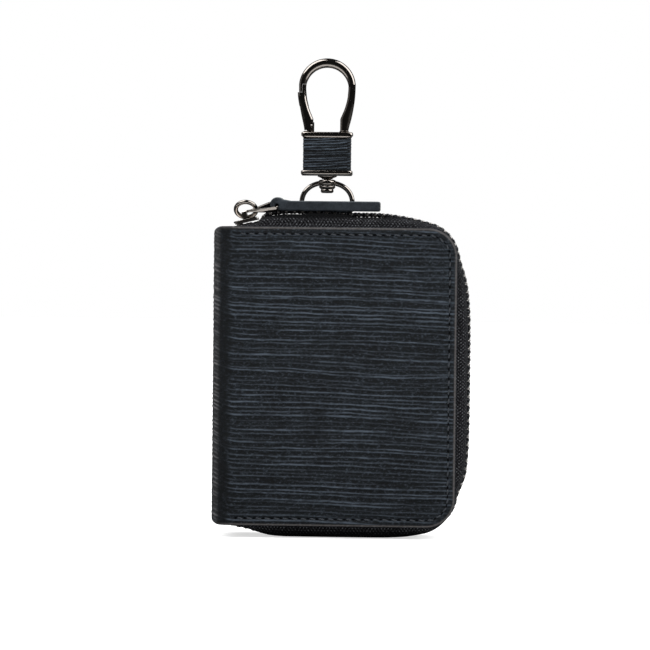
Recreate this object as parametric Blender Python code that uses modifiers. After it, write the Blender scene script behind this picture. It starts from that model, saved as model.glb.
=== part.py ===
"""A zip-around leather key holder with a snap hook, standing on its zip. Metres, +Z up.

The front cover faces -Y and the spine is at -X. The origin is the middle of the footprint.
"""

import math

import bmesh
import bpy
from mathutils import Matrix, Vector

# Case
case_width = 0.08025
case_height = 0.0980
case_depth = 0.0260
base_lift = 0.0040
cover_corner = 0.0095
spine_corner = 0.0065
spine_end_round = 0.0030
leather = 0.0013
core = 0.0008
lining = 0.0009
lining_inset = 0.0012
board_spine_inset = 0.0010
fit_gap = 0.0003
cut_overrun = 0.0020
leather_edge_round = 0.0003

# Zip tape
tape = 0.0006
flange_width = 0.0070
tape_exit_inset = 0.0004
tape_turn = 0.0007
tape_level = 0.0090
bulge_power = 3.0

# Zip chain
chain_side_bulge = 0.00355
chain_top_bulge = 0.0041
chain_low_start = -0.0002
ramp_length = 0.02875
ground_gap = 0.0003
bottom_sag = 0.0012
bottom_end_rise = 0.0025
tooth_pitch = 0.00265
tooth_length = 0.0010
tooth_height = 0.0016
tooth_reach = 0.0009
tooth_back = 0.0029
head_share = 0.8
cord_radius = 0.0006
cord_offset = 0.0021
stop_length = 0.0016

# Zip slider
slider_length = 0.0080
slider_from_seam = 0.0039
slider_plate = 0.0006
slider_wall = 0.0010
slider_post_radius = 0.0010
arch_width = 0.0016
arch_bar = 0.0008
arch_play = 0.0005
arch_post = 0.0012

# Pull ring, clip and strap
ring_radius = 0.00335
ring_wire = 0.00065
ring_lean = math.radians(42)
clip_wire = 0.0006
clip_neck = 0.0022
clip_corner = 0.0009
strap_width = 0.0086
strap_thickness = 0.0032
strap_from_seam = 0.01375
strap_length = 0.0360
strap_lift = 0.0004
strap_eye_wall = 0.0012
strap_end_round = 0.0005

# Hanger tab and D-ring
hook_from_seam = 0.02965
dring_wire = 0.00075
dring_half_width = 0.0083
dring_leg = 0.0024
dring_arch = 0.00685
eye_radius = 0.0028
eye_height = 0.0019
tab_ply = 0.0008
tab_width = 0.0136
tab_tail = 0.0060
bar_lift = 0.0055

# Swivel
post_radius = 0.0012
post_button_radius = 0.0020
post_button_height = 0.0012
post_flare_radius = 0.0030
post_flare_height = 0.0010
post_neck_radius = 0.0018
post_seat = 0.0015
washer_radius = 0.00275
washer_height = 0.0007

# Snap hook
flange_half_width = 0.0085
lower_flange = 0.0018
upper_flange = 0.0021
spool_height = 0.0106
wrap_half_width = 0.00785
wrap_recess = 0.00035
wrap_thickness = 0.0012
crown_half_width = 0.00935
crown_inner_half = 0.00705
crown_rise = 0.0150
crown_inner_drop = 0.00075
crown_half_depth = 0.0016
gate_foot_gap = 0.0006
gate_pin_x = 0.0054
gate_pin_z = 0.0022
gate_pin_radius = 0.0005
gate_lip_top = 0.0008
gate_lip_bottom = 0.0018
lug_half_width = 0.0012
lug_thickness = 0.0012
lug_height = 0.0032
gate_slot_height = 0.0042
gate_pocket_height = 0.0086
spring_leaf = 0.0003
spring_width = 0.0012
spring_height = 0.0045

# Key rail and its hooks
rail_x = 0.0020
rail_length = 0.0440
rail_height = 0.0100
rail_drop = 0.0110
rail_plate = 0.0009
rail_ear = 0.0015
rod_radius = 0.0009
rod_drop = 0.0033
rivet_radius = 0.0010
rivet_head = 0.0019
rivet_head_height = 0.0005
rivet_inset = 0.0060
key_hook_count = 6
rail_end_room = 0.0055
key_wire = 0.0006
key_eye_radius = 0.0019
key_shank = 0.0165
key_bend_radius = 0.0022
key_return = 0.0085
key_tongue = 0.0030

# Card pockets
pocket_leather = 0.0007
pocket_inset = 0.0026
pocket_upper_height = 0.0620
pocket_lower_height = 0.0470
pocket_dip = 0.0030

# Places worked out from the sizes above
half_depth = case_depth / 2
side_reach = chain_side_bulge + tooth_height / 2
spine_x = -(case_width + side_reach) / 2
edge_x = spine_x + case_width
hinge_x = spine_x + spine_corner
seam_x = hinge_x + fit_gap / 2
top_z = base_lift + case_height
tape_y = half_depth - leather - fit_gap - core / 2
lining_outer_y = half_depth - leather - core - 2 * fit_gap
lining_inner_y = lining_outer_y - lining
chain_top_z = top_z + chain_top_bulge
chain_bottom_z = ground_gap + tooth_height / 2
chain_bottom_bulge = base_lift - chain_bottom_z
ramp_end_x = seam_x + ramp_length
slider_x = seam_x + slider_from_seam
strap_x = seam_x + strap_from_seam
hook_x = seam_x + hook_from_seam
tape_edge_y = tooth_back + fit_gap
ramp_slope = (chain_top_bulge - chain_low_start) / ramp_length
ramp_angle = math.atan(ramp_slope)
slider_half_height = tooth_height / 2 + fit_gap + slider_plate
slider_half_width = tape_edge_y + slider_wall
chain_start_x = slider_x + slider_length / 2 + 2 * fit_gap
chain_end_x = seam_x + stop_length / 2 + fit_gap
dring_y = half_depth - leather - fit_gap - tab_ply - fit_gap - dring_wire
dring_z = top_z + bar_lift
eye_z = dring_z + dring_leg + dring_arch
flange_half_depth = half_depth - dring_y
wrap_half_depth = flange_half_depth - wrap_recess
spool_z = eye_z + eye_height / 2 + fit_gap + post_flare_height
crown_base_z = spool_z + lower_flange + spool_height + upper_flange
crown_z = crown_base_z + crown_rise
rail_top_z = top_z - rail_drop
rod_z = rail_top_z - rail_height - rod_drop
key_hook_pitch = (rail_length - 2 * rail_end_room) / (key_hook_count - 1)
rod_y = lining_inner_y - fit_gap - key_wire - key_eye_radius - key_wire / 2

# The leg's outline from the hook's base up to the arch: height, outer and inner half width
leg_outline_shares = (
    (0.0, 0.74, 0.62),
    (0.12, 0.78, 0.62),
    (0.29, 0.86, 0.62),
    (0.52, 0.93, 0.83),
    (0.73, 0.98, 0.95),
    (1.0, 1.0, 1.0),
)

# How far the chain bulges past the covers' edge: share of each stretch, share of its bulge
top_bulge_shares = ((0.0, 1.0), (0.35, 1.0), (0.556, 0.97), (0.742, 0.78), (0.886, 0.53), (1.0, 0.27))
upper_corner_shares = ((0.0, 0.27), (0.16, 0.14), (0.36, 0.0), (0.6, -0.09), (0.8, -0.11), (1.0, -0.04))
side_bulge_shares = (
    (0.0, -0.05),
    (0.03, 0.14),
    (0.08, 0.5),
    (0.145, 0.78),
    (0.27, 0.98),
    (0.5, 1.0),
    (0.76, 0.97),
    (0.9, 0.76),
    (0.947, 0.42),
    (1.0, -0.05),
)
lower_corner_shares = ((0.0, -0.06), (0.3, -0.14), (0.6, -0.12), (0.85, 0.1), (1.0, 0.35))
bottom_bulge_shares = ((0.0, 0.35), (0.05, 0.62), (0.12, 0.87), (0.25, 1.0), (1.0, 1.0))
bottom_rise_share = 0.78
bottom_sag_share = 0.7

# The slider's outline: shares of its half length and half width
slider_plan_shares = (
    (-1.0, -0.66),
    (-0.7, -1.0),
    (0.6, -1.0),
    (1.0, -0.93),
    (1.0, 0.93),
    (0.6, 1.0),
    (-0.7, 1.0),
    (-1.0, 0.66),
)

# Steps of the curved stretches
corner_steps = 8
round_steps = 24
side_steps = 10
section_steps = 12
wire_resolution = 2
arch_steps = 20

for leftover in list(bpy.data.objects):
    bpy.data.objects.remove(leftover)

parts = bpy.data.collections.new("key_holder")
cutters = bpy.data.collections.new("cutters")
bpy.context.scene.collection.children.link(parts)
bpy.context.scene.collection.children.link(cutters)

FACING = {
    "XY": Matrix.Identity(4),
    "XZ": Matrix.Rotation(math.pi / 2, 4, "X"),
    "YZ": Matrix(((0, 0, 1, 0), (1, 0, 0, 0), (0, 1, 0, 0), (0, 0, 0, 1))),
}


def finish(name, colour, roughness, metallic):
    material = bpy.data.materials.new(name)
    material.use_nodes = True
    shader = material.node_tree.nodes["Principled BSDF"]
    shader.inputs["Base Color"].default_value = (*colour, 1.0)
    shader.inputs["Roughness"].default_value = roughness
    shader.inputs["Metallic"].default_value = metallic
    material.diffuse_color = (*colour, 1.0)
    return material


ridged_leather = finish("ridged_leather", (0.017, 0.021, 0.027), 0.5, 0.0)
smooth_leather = finish("smooth_leather", (0.020, 0.024, 0.030), 0.55, 0.0)
lining_cloth = finish("lining_cloth", (0.030, 0.032, 0.036), 0.8, 0.0)
board = finish("board", (0.10, 0.09, 0.08), 0.9, 0.0)
woven_tape = finish("woven_tape", (0.018, 0.019, 0.021), 0.85, 0.0)
gun_metal = finish("gun_metal", (0.16, 0.15, 0.15), 0.22, 1.0)
spring_steel = finish("spring_steel", (0.45, 0.45, 0.46), 0.3, 1.0)


def add_object(name, mesh, material=None, group=None):
    made = bpy.data.objects.new(name, mesh)
    (group or parts).objects.link(made)
    if material:
        mesh.materials.append(material)
    return made


def from_bmesh(name, shape, material=None, group=None):
    mesh = bpy.data.meshes.new(name)
    bmesh.ops.recalc_face_normals(shape, faces=shape.faces)
    shape.to_mesh(mesh)
    shape.free()
    return add_object(name, mesh, material, group)


def curve_to_mesh(name, curve, material, group=None):
    """Turns a curve into a closed mesh object with welded caps."""
    guide = bpy.data.objects.new(name + "_guide", curve)
    parts.objects.link(guide)
    graph = bpy.context.evaluated_depsgraph_get()
    mesh = bpy.data.meshes.new_from_object(guide.evaluated_get(graph))
    bpy.data.objects.remove(guide)
    bpy.data.curves.remove(curve)
    mesh.name = name
    mesh.materials.clear()
    shape = bmesh.new()
    shape.from_mesh(mesh)
    bmesh.ops.remove_doubles(shape, verts=shape.verts, dist=0.000002)
    shape.to_mesh(mesh)
    shape.free()
    return add_object(name, mesh, material, group)


def plate(name, outlines, thickness, middle, facing, material, group=None):
    """A flat sheet: its first outline is the edge and the others are holes."""
    curve = bpy.data.curves.new(name, "CURVE")
    curve.dimensions = "2D"
    curve.fill_mode = "BOTH"
    curve.extrude = thickness / 2
    for outline in outlines:
        spline = curve.splines.new("POLY")
        spline.points.add(len(outline) - 1)
        for point, place in zip(spline.points, outline):
            point.co = (place[0], place[1], 0, 1)
        spline.use_cyclic_u = True
    made = curve_to_mesh(name, curve, material, group)
    made.matrix_world = Matrix.Translation(middle) @ FACING[facing]
    return made


def tube(name, points, radius, material, closed=False, resolution=wire_resolution):
    curve = bpy.data.curves.new(name, "CURVE")
    curve.dimensions = "3D"
    curve.bevel_depth = radius
    curve.bevel_resolution = resolution
    curve.use_fill_caps = not closed
    spline = curve.splines.new("POLY")
    spline.points.add(len(points) - 1)
    for point, place in zip(spline.points, points):
        point.co = (*place, 1)
    spline.use_cyclic_u = closed
    made = curve_to_mesh(name, curve, material)
    made.data.shade_smooth()
    return made


def turned(name, profile, material, group=None, hollow=False):
    """Turns a profile of (radius, height) pairs, listed from the top down, about +Z."""
    mesh = bpy.data.meshes.new(name)
    edges = [(i, i + 1) for i in range(len(profile) - 1)]
    if hollow:
        edges.append((len(profile) - 1, 0))
    mesh.from_pydata([(radius, 0, height) for radius, height in profile], edges, [])
    made = add_object(name, mesh, material, group)
    screw = made.modifiers.new("turn", "SCREW")
    screw.steps = screw.render_steps = round_steps
    screw.use_merge_vertices = True
    screw.merge_threshold = 0.00001
    return made


def block(name, low, high, material=None, group=None):
    shape = bmesh.new()
    bmesh.ops.create_cube(shape, size=1.0)
    size = [b - a for a, b in zip(low, high)]
    bmesh.ops.scale(shape, vec=size, verts=shape.verts)
    made = from_bmesh(name, shape, material, group)
    made.location = [(a + b) / 2 for a, b in zip(low, high)]
    return made


def rod(name, radius, length, middle, axis, material=None, group=None, sides=round_steps):
    shape = bmesh.new()
    bmesh.ops.create_cone(
        shape, cap_ends=True, segments=sides, radius1=radius, radius2=radius, depth=length
    )
    made = from_bmesh(name, shape, material, group)
    turn = {"X": (0, math.pi / 2, 0), "Y": (math.pi / 2, 0, 0), "Z": (0, 0, 0)}[axis]
    made.location = middle
    made.rotation_euler = turn
    return made


def combine(target, other, operation):
    """Joins another shape to the target or cuts it out, and hides the shape that was used."""
    for group in list(other.users_collection):
        group.objects.unlink(other)
    cutters.objects.link(other)
    other.hide_render = True
    other.display_type = "WIRE"
    step = target.modifiers.new(other.name, "BOOLEAN")
    step.operation = operation
    step.object = other
    step.solver = "EXACT"


def round_edges(target, width, segments=2):
    bevel = target.modifiers.new("round", "BEVEL")
    bevel.width = width
    bevel.segments = segments
    bevel.limit_method = "ANGLE"
    bevel.angle_limit = math.radians(50)
    bevel.harden_normals = False


def arc(centre, radius, start, end, steps):
    """Points of an arc, both ends included, angles in degrees."""
    points = []
    for i in range(steps + 1):
        angle = math.radians(start + (end - start) * i / steps)
        points.append((centre[0] + radius * math.cos(angle), centre[1] + radius * math.sin(angle)))
    return points


def cover_outline(inset, left, low=None, high=None):
    """A panel of the case, square at the spine and round at its two free corners."""
    right = edge_x - inset
    bottom = base_lift + inset if low is None else low
    top = top_z - inset if high is None else high
    corner = cover_corner - inset
    points = [(left, bottom)]
    points += arc((right - corner, bottom + corner), corner, -90, 0, corner_steps)
    points += arc((right - corner, top - corner), corner, 0, 90, corner_steps)
    return points + [(left, top)]


def stadium(half_width, half_depth_, steps=corner_steps):
    reach = half_width - half_depth_
    right = arc((reach, 0), half_depth_, -90, 90, steps)
    left = arc((-reach, 0), half_depth_, 90, 270, steps)
    return right + left


def carrier(name, place, parent=None, turn=(0, 0, 0)):
    """An empty on a joint's axis."""
    empty = bpy.data.objects.new(name, None)
    empty.empty_display_size = fit_gap
    parts.objects.link(empty)
    empty.matrix_world = Matrix.Translation(place) @ Matrix.Rotation(turn[1], 4, "Y")
    if parent:
        hang(empty, parent)
    return empty


def hang(piece, parent):
    """Parents a piece and keeps it where it is."""
    bpy.context.view_layer.update()
    piece.parent = parent
    piece.matrix_parent_inverse = parent.matrix_world.inverted()


# Route of the zip. Sections: ramp, top, upper corner, side, lower corner, bottom.
section_counts = (7, 8, 9, 14, 9, 14)


def edge_at(section, share, inset):
    """A place on the covers' edge, as (x, z)."""
    right = edge_x - inset
    corner = cover_corner - inset
    top = top_z - inset
    bottom = base_lift + inset
    turn_x = right - corner
    if section == 0:
        return seam_x + (ramp_end_x - seam_x) * share, top
    if section == 1:
        return ramp_end_x + (turn_x - ramp_end_x) * share, top
    if section == 2:
        angle = math.pi / 2 * (1 - share)
        return turn_x + corner * math.cos(angle), top - corner + corner * math.sin(angle)
    if section == 3:
        return right, top - corner - (top - bottom - 2 * corner) * share
    if section == 4:
        angle = -math.pi / 2 * share
        return turn_x + corner * math.cos(angle), bottom + corner + corner * math.sin(angle)
    return turn_x + (seam_x - turn_x) * share, bottom


def ease(share):
    share = min(max(share, 0), 1)
    return share * share * (3 - 2 * share)


def follow(table, share):
    """A smooth value between the rows of a table of shares."""
    last = len(table) - 1
    i = 0
    while i < last - 1 and table[i + 1][0] < share:
        i += 1
    (x0, y0), (x1, y1) = table[i], table[i + 1]
    before, after = table[max(i - 1, 0)], table[min(i + 2, last)]
    run = x1 - x0
    slope0 = (y1 - before[1]) / (x1 - before[0])
    slope1 = (after[1] - y0) / (after[0] - x0)
    t = (share - x0) / run
    start = (2 * t**3 - 3 * t**2 + 1) * y0 + (t**3 - 2 * t**2 + t) * run * slope0
    return start + (3 * t**2 - 2 * t**3) * y1 + (t**3 - t**2) * run * slope1


def end_rise(share):
    """The bottom of the zip climbs back to the covers over its last stretch."""
    return bottom_end_rise * ease((share - bottom_rise_share) / (1 - bottom_rise_share))


def chain_at(section, share):
    """A place on the middle line of the chain, as (x, z)."""
    x, z = edge_at(section, share, 0)
    if section == 0:
        return x, z + chain_low_start + (x - seam_x) * ramp_slope
    if section == 1:
        return x, z + chain_top_bulge * follow(top_bulge_shares, share)
    if section == 2:
        angle = math.pi / 2 * (1 - share)
        out = chain_top_bulge * follow(upper_corner_shares, share)
        return x + out * math.cos(angle), z + out * math.sin(angle)
    if section == 3:
        return x + chain_side_bulge * follow(side_bulge_shares, share), z
    if section == 4:
        angle = -math.pi / 2 * share
        out = chain_bottom_bulge * follow(lower_corner_shares, share)
        return x + out * math.cos(angle), z + out * math.sin(angle)
    out = chain_bottom_bulge * follow(bottom_bulge_shares, share)
    return x, z - out + end_rise(share)


def route_places():
    places = []
    for section, count in enumerate(section_counts):
        first = 0 if section == 0 else 1
        places += [(section, i / count) for i in range(first, count + 1)]
    return places


def sag_at(section, share):
    """How far the tape hangs below the chain's middle line."""
    if section == 4:
        return bottom_sag * ease(share)
    if section == 5:
        return bottom_sag * (1 - ease((share - bottom_sag_share) / (1 - bottom_sag_share)))
    return 0


def tape_row(level, inset, share_out):
    """One row of the tape, as (x, z) places; share_out goes from the covers' edge to the chain."""
    row = []
    for section, share in route_places():
        x, z = edge_at(section, share, inset)
        if share_out > 0:
            chain_x, chain_z = chain_at(section, share)
            if level > tape_edge_y:
                chain_z -= sag_at(section, share)
            x += (chain_x - x) * share_out
            z += (chain_z - z) * share_out
            if section >= 4:
                z = max(z, tape / 2)
        row.append((x, z))
    return row


def tape_rows():
    rows = [
        (tape_y, tape_row(tape_y, flange_width, 0)),
        (tape_y, tape_row(tape_y, lining_inset, 0)),
        (tape_y - tape_turn / 5, tape_row(tape_y, tape_exit_inset + tape_turn / 3, 0)),
        (tape_y - tape_turn, tape_row(tape_y, tape_exit_inset, 0)),
        (tape_level, tape_row(tape_level, tape_exit_inset, 0)),
    ]
    span = tape_level - tape_edge_y
    for level_share in (0.86, 0.69, 0.47, 0.24, 0.0):
        bulge = (1 - level_share**bulge_power) ** (1 / bulge_power)
        level = tape_edge_y + span * level_share
        rows.append((level, tape_row(level, tape_exit_inset, bulge)))
    return rows


def zip_tape(name, side):
    """The woven tape of one half, from its sewn flange round to the chain."""
    shape = bmesh.new()
    grid = []
    for level, row in tape_rows():
        grid.append([shape.verts.new((x, side * level, z)) for x, z in row])
    for lower, upper in zip(grid, grid[1:]):
        for i in range(len(lower) - 1):
            shape.faces.new((lower[i], lower[i + 1], upper[i + 1], upper[i]))
    made = from_bmesh(name, shape, woven_tape)
    made.data.shade_smooth()
    skin = made.modifiers.new("thickness", "SOLIDIFY")
    skin.thickness = tape
    skin.offset = 0
    return made


def chain_line():
    """Closely spaced places along the chain with the distance run so far."""
    fine = []
    for section in range(len(section_counts)):
        count = 60
        fine += [(section, *chain_at(section, i / count)) for i in range(count)]
    fine.append((5, *chain_at(5, 1)))
    line = [
        (x, z)
        for section, x, z in fine
        if not (section == 0 and x < chain_start_x) and not (section == 5 and x < chain_end_x)
    ]
    run = [0.0]
    for (x0, z0), (x1, z1) in zip(line, line[1:]):
        run.append(run[-1] + math.hypot(x1 - x0, z1 - z0))
    return line, run


def station(line, run, distance):
    """The place and the direction at a distance along the chain."""
    i = 0
    while i < len(run) - 2 and run[i + 1] < distance:
        i += 1
    share = (distance - run[i]) / (run[i + 1] - run[i])
    (x0, z0), (x1, z1) = line[i], line[i + 1]
    x, z = x0 + (x1 - x0) * share, z0 + (z1 - z0) * share
    length = math.hypot(x1 - x0, z1 - z0)
    return Vector((x, 0, z)), Vector(((x1 - x0) / length, 0, (z1 - z0) / length))


def add_tooth(shape, place, along, side, length, low_y, high_y):
    """One metal tooth: clamped on the cord at its back, with a slimmer head."""
    across = Vector((0, side, 0))
    up = along.cross(across) * -side
    frame = Matrix((along, across, up)).transposed().to_4x4()
    frame.translation = place + across * (low_y + high_y) / 2
    scale = Matrix.Diagonal((length, high_y - low_y, tooth_height, 1))
    made = bmesh.ops.create_cube(shape, size=1.0, matrix=frame @ scale)["verts"]
    for vert in made:
        if (vert.co - place).dot(across) < low_y + fit_gap:
            offset = vert.co - place
            flat = offset.dot(along) * along + offset.dot(up) * up
            vert.co -= flat * (1 - head_share)


def zip_chain(name, side):
    """The beaded cord of one tape with its metal teeth and an end stop at each end."""
    line, run = chain_line()
    total = run[-1]
    count = 72
    cord_points = []
    for i in range(count + 1):
        place, _ = station(line, run, total * i / count)
        cord_points.append((place.x, side * cord_offset, place.z))
    chain = tube(name, cord_points, cord_radius, gun_metal, resolution=1)
    teeth = bmesh.new()
    phase = tooth_pitch / 2 if side < 0 else 0
    distance = stop_length + tooth_pitch / 2 + phase
    while distance < total - stop_length - tooth_pitch / 2:
        place, along = station(line, run, distance)
        add_tooth(teeth, place, along, side, tooth_length, -tooth_reach, tooth_back)
        distance += tooth_pitch
    for distance in (stop_length / 2, total - stop_length / 2):
        place, along = station(line, run, distance)
        add_tooth(teeth, place, along, side, stop_length, fit_gap / 2, tooth_back)
    combine(chain, from_bmesh(name + "_teeth", teeth), "UNION")
    return chain


def cover(name, side):
    return plate(
        name,
        [cover_outline(0, seam_x)],
        leather,
        (0, side * (half_depth - leather / 2), 0),
        "XZ",
        ridged_leather,
    )


def stiffener(name, side):
    inset = flange_width + fit_gap
    return plate(
        name,
        [cover_outline(inset, seam_x + board_spine_inset)],
        core,
        (0, side * tape_y, 0),
        "XZ",
        board,
    )


def lining_panel(name, side):
    return plate(
        name,
        [cover_outline(lining_inset, seam_x)],
        lining,
        (0, side * (lining_inner_y + lining / 2), 0),
        "XZ",
        lining_cloth,
    )


def spine_profile(depth_in, thickness):
    """The round-cornered U of the spine, seen from above, at a depth below its outer skin."""
    outer = spine_corner - depth_in
    inner = outer - thickness
    flat = half_depth - spine_corner
    end = hinge_x - fit_gap / 2
    points = [(end, -flat - outer)]
    points += arc((hinge_x, -flat), outer, -95, -180, corner_steps)
    points += arc((hinge_x, flat), outer, 180, 95, corner_steps)
    points += [(end, flat + outer), (end, flat + inner)]
    points += arc((hinge_x, flat), inner, 95, 180, corner_steps)
    points += arc((hinge_x, -flat), inner, -180, -95, corner_steps)
    return points + [(end, -flat - inner)]


def spine_panel(name, depth_in, thickness, inset, material):
    height = case_height - 2 * inset
    middle = (0, 0, base_lift + case_height / 2)
    return plate(name, [spine_profile(depth_in, thickness)], height, middle, "XY", material)


# Covers, boards and linings
back_cover = cover("back_cover", 1)
front_cover = cover("front_cover", -1)
back_board = stiffener("back_board", 1)
front_board = stiffener("front_board", -1)
back_lining = lining_panel("back_lining", 1)
front_lining = lining_panel("front_lining", -1)
for panel in (back_cover, front_cover):
    round_edges(panel, leather_edge_round)

# Spine
lining_depth = leather + core + 2 * fit_gap
spine_cover = spine_panel("spine_cover", 0, leather, -cut_overrun, ridged_leather)
spine_lining = spine_panel("spine_lining", lining_depth, lining, spine_end_round, lining_cloth)
spine_board_x = spine_x + leather + fit_gap
spine_board = block(
    "spine_board",
    (spine_board_x, spine_corner - half_depth, base_lift + spine_end_round),
    (spine_board_x + core, half_depth - spine_corner, top_z - spine_end_round),
    board,
)
spine_mask_left = spine_x - cut_overrun
spine_mask_right = hinge_x + cut_overrun
spine_round_x = spine_x + spine_end_round
spine_low_z = base_lift + spine_end_round
spine_high_z = top_z - spine_end_round
spine_outline = [(spine_mask_right, base_lift)]
spine_outline += arc((spine_round_x, spine_low_z), spine_end_round, 270, 190, corner_steps)
spine_outline += [(spine_mask_left, spine_low_z), (spine_mask_left, spine_high_z)]
spine_outline += arc((spine_round_x, spine_high_z), spine_end_round, 170, 90, corner_steps)
spine_outline += [(spine_mask_right, top_z)]
spine_mask = plate(
    "spine_mask", [spine_outline], case_depth + 2 * cut_overrun, (0, 0, 0), "XZ", None
)
combine(spine_cover, spine_mask, "INTERSECT")

# Zip
back_tape = zip_tape("back_zip_tape", 1)
front_tape = zip_tape("front_zip_tape", -1)
back_chain = zip_chain("back_zip_chain", 1)
front_chain = zip_chain("front_zip_chain", -1)

slider_end_x = slider_x + slider_length / 2 + fit_gap
slider_bay = block(
    "slider_bay",
    (seam_x - cut_overrun, -slider_half_width - fit_gap, top_z - slider_half_height - cut_overrun),
    (slider_end_x, fit_gap, top_z + slider_half_height + cut_overrun),
)
combine(front_tape, slider_bay, "DIFFERENCE")

tab_bay = block(
    "tab_bay",
    (
        hook_x - tab_width / 2 - fit_gap,
        dring_y + dring_wire,
        top_z - tab_tail - 2 * fit_gap,
    ),
    (
        hook_x + tab_width / 2 + fit_gap,
        half_depth - leather,
        top_z + cut_overrun,
    ),
)
combine(back_tape, tab_bay, "DIFFERENCE")

# Hanger tab: one ply sewn in behind the back cover, its top rolled round the D-ring's bar
tab_outer = dring_wire + fit_gap + tab_ply
hanger_tab = rod(
    "hanger_tab", tab_outer, tab_width, (hook_x, dring_y, dring_z), "X", smooth_leather
)
tail = block(
    "tab_tail",
    (hook_x - tab_width / 2, dring_y + tab_outer - tab_ply, top_z - tab_tail),
    (hook_x + tab_width / 2, dring_y + tab_outer, dring_z),
)
combine(hanger_tab, tail, "UNION")
bar_bore = rod(
    "bar_bore",
    dring_wire + fit_gap,
    tab_width + cut_overrun,
    (hook_x, dring_y, dring_z),
    "X",
    group=cutters,
)
combine(hanger_tab, bar_bore, "DIFFERENCE")

# Zip slider, in its own frame along the ramp
slider_z = top_z + chain_low_start + (slider_x - seam_x) * ramp_slope
slider_axis = carrier("slider_axis", (slider_x, 0, slider_z), turn=(0, -ramp_angle, 0))
half_length = slider_length / 2
slider_plan = [(half_length * a, slider_half_width * b) for a, b in slider_plan_shares]
slider_body = plate(
    "slider_body", [slider_plan], 2 * slider_half_height, (0, 0, 0), "XY", gun_metal
)
round_edges(slider_body, slider_plate / 2)
channel = block(
    "slider_channel",
    (-slider_length, -tape_edge_y, -tooth_height / 2 - fit_gap),
    (slider_length, tape_edge_y, tooth_height / 2 + fit_gap),
)
slots = block(
    "slider_slots",
    (-slider_length, -2 * slider_half_width, -tape / 2 - fit_gap),
    (slider_length, 2 * slider_half_width, tape / 2 + fit_gap),
)
divider = rod(
    "slider_divider",
    slider_post_radius,
    2 * slider_half_height - slider_plate,
    (-half_length + slider_post_radius * 1.5, 0, 0),
    "Z",
    sides=4,
)
arch_low = slider_half_height - slider_plate / 2
arch_inner = slider_half_height + fit_gap + 2 * ring_wire + arch_play
arch_half = ring_wire + fit_gap + arch_post
arch_top = arch_inner + arch_bar
arch = plate(
    "slider_arch",
    [
        [
            (-arch_half, arch_low),
            (-arch_half + arch_post, arch_low),
            (-arch_half + arch_post, arch_inner),
            (arch_half - arch_post, arch_inner),
            (arch_half - arch_post, arch_low),
            (arch_half, arch_low),
            (arch_half, arch_top - arch_bar / 2),
            (arch_half - arch_bar / 2, arch_top),
            (-arch_half + arch_bar / 2, arch_top),
            (-arch_half, arch_top - arch_bar / 2),
        ]
    ],
    arch_width,
    (0, 0, 0),
    "YZ",
    None,
)
slider_tools = ((arch, "UNION"), (channel, "DIFFERENCE"), (slots, "DIFFERENCE"), (divider, "UNION"))
for tool, operation in slider_tools:
    tool.matrix_world = slider_axis.matrix_world @ tool.matrix_basis
    combine(slider_body, tool, operation)
slider_body.matrix_world = slider_axis.matrix_world.copy()

# Pull ring, leaning towards the front in the slider's arch
slider_up = Vector((-math.sin(ramp_angle), 0, math.cos(ramp_angle)))
ring_low = Vector((slider_x, 0, slider_z)) + slider_up * (slider_half_height + fit_gap + ring_wire)
ring_up = Vector((0, -math.sin(ring_lean), math.cos(ring_lean)))
ring_middle = ring_low + ring_up * ring_radius
ring_points = [(x, 0, z) for x, z in arc((0, 0), ring_radius, 0, 360, round_steps)[:-1]]
pull_ring = tube("pull_ring", ring_points, ring_wire, gun_metal, closed=True)
pull_ring.matrix_world = Matrix.Translation(ring_middle) @ Matrix.Rotation(ring_lean, 4, "X")

# Pull clip, a closed wire loop from the ring to the strap
clip_pivot = ring_middle + Vector((ring_radius, 0, 0))
strap_z = chain_top_z + tooth_height / 2 + strap_lift + strap_thickness / 2
strap_pivot = Vector((strap_x, 0, strap_z))
clip_reach = strap_x - clip_pivot.x
clip_tilt = math.atan2(strap_z - clip_pivot.z, clip_reach)
clip_length = math.hypot(strap_z - clip_pivot.z, clip_reach)
clip_half = strap_width / 2 + fit_gap + clip_wire
strap_left = strap_eye_wall + clip_wire + fit_gap
shoulder = clip_length - strap_left - clip_wire
strap_shift = -clip_pivot.y


def rounded_loop(corners, radius, steps=4):
    """A closed loop of straight runs with a round at each corner, as (x, y) points."""
    points = []
    for i, corner in enumerate(corners):
        here = Vector(corner)
        before = (Vector(corners[i - 1]) - here).normalized()
        after = (Vector(corners[(i + 1) % len(corners)]) - here).normalized()
        half = before.angle(after) / 2
        reach = radius / math.tan(half)
        centre = here + (before + after).normalized() * (radius / math.sin(half))
        start = here + before * reach - centre
        end = here + after * reach - centre
        turn = start.angle_signed(end)
        for step in range(steps + 1):
            angle = -turn * step / steps
            spin = Matrix.Rotation(angle, 2)
            points.append(tuple(centre + spin @ start))
    return points


clip_back = -(ring_wire + fit_gap + clip_wire)
clip_corners = [
    (clip_back, -clip_neck),
    (shoulder, strap_shift - clip_half),
    (clip_length, strap_shift - clip_half),
    (clip_length, strap_shift + clip_half),
    (shoulder, strap_shift + clip_half),
    (clip_back, clip_neck),
]
clip_points = [(x, y, 0) for x, y in rounded_loop(clip_corners, clip_corner)]
pull_clip = tube("pull_clip", clip_points, clip_wire, gun_metal, closed=True)
pull_clip.matrix_world = Matrix.Translation(clip_pivot) @ Matrix.Rotation(-clip_tilt, 4, "Y")

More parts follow.
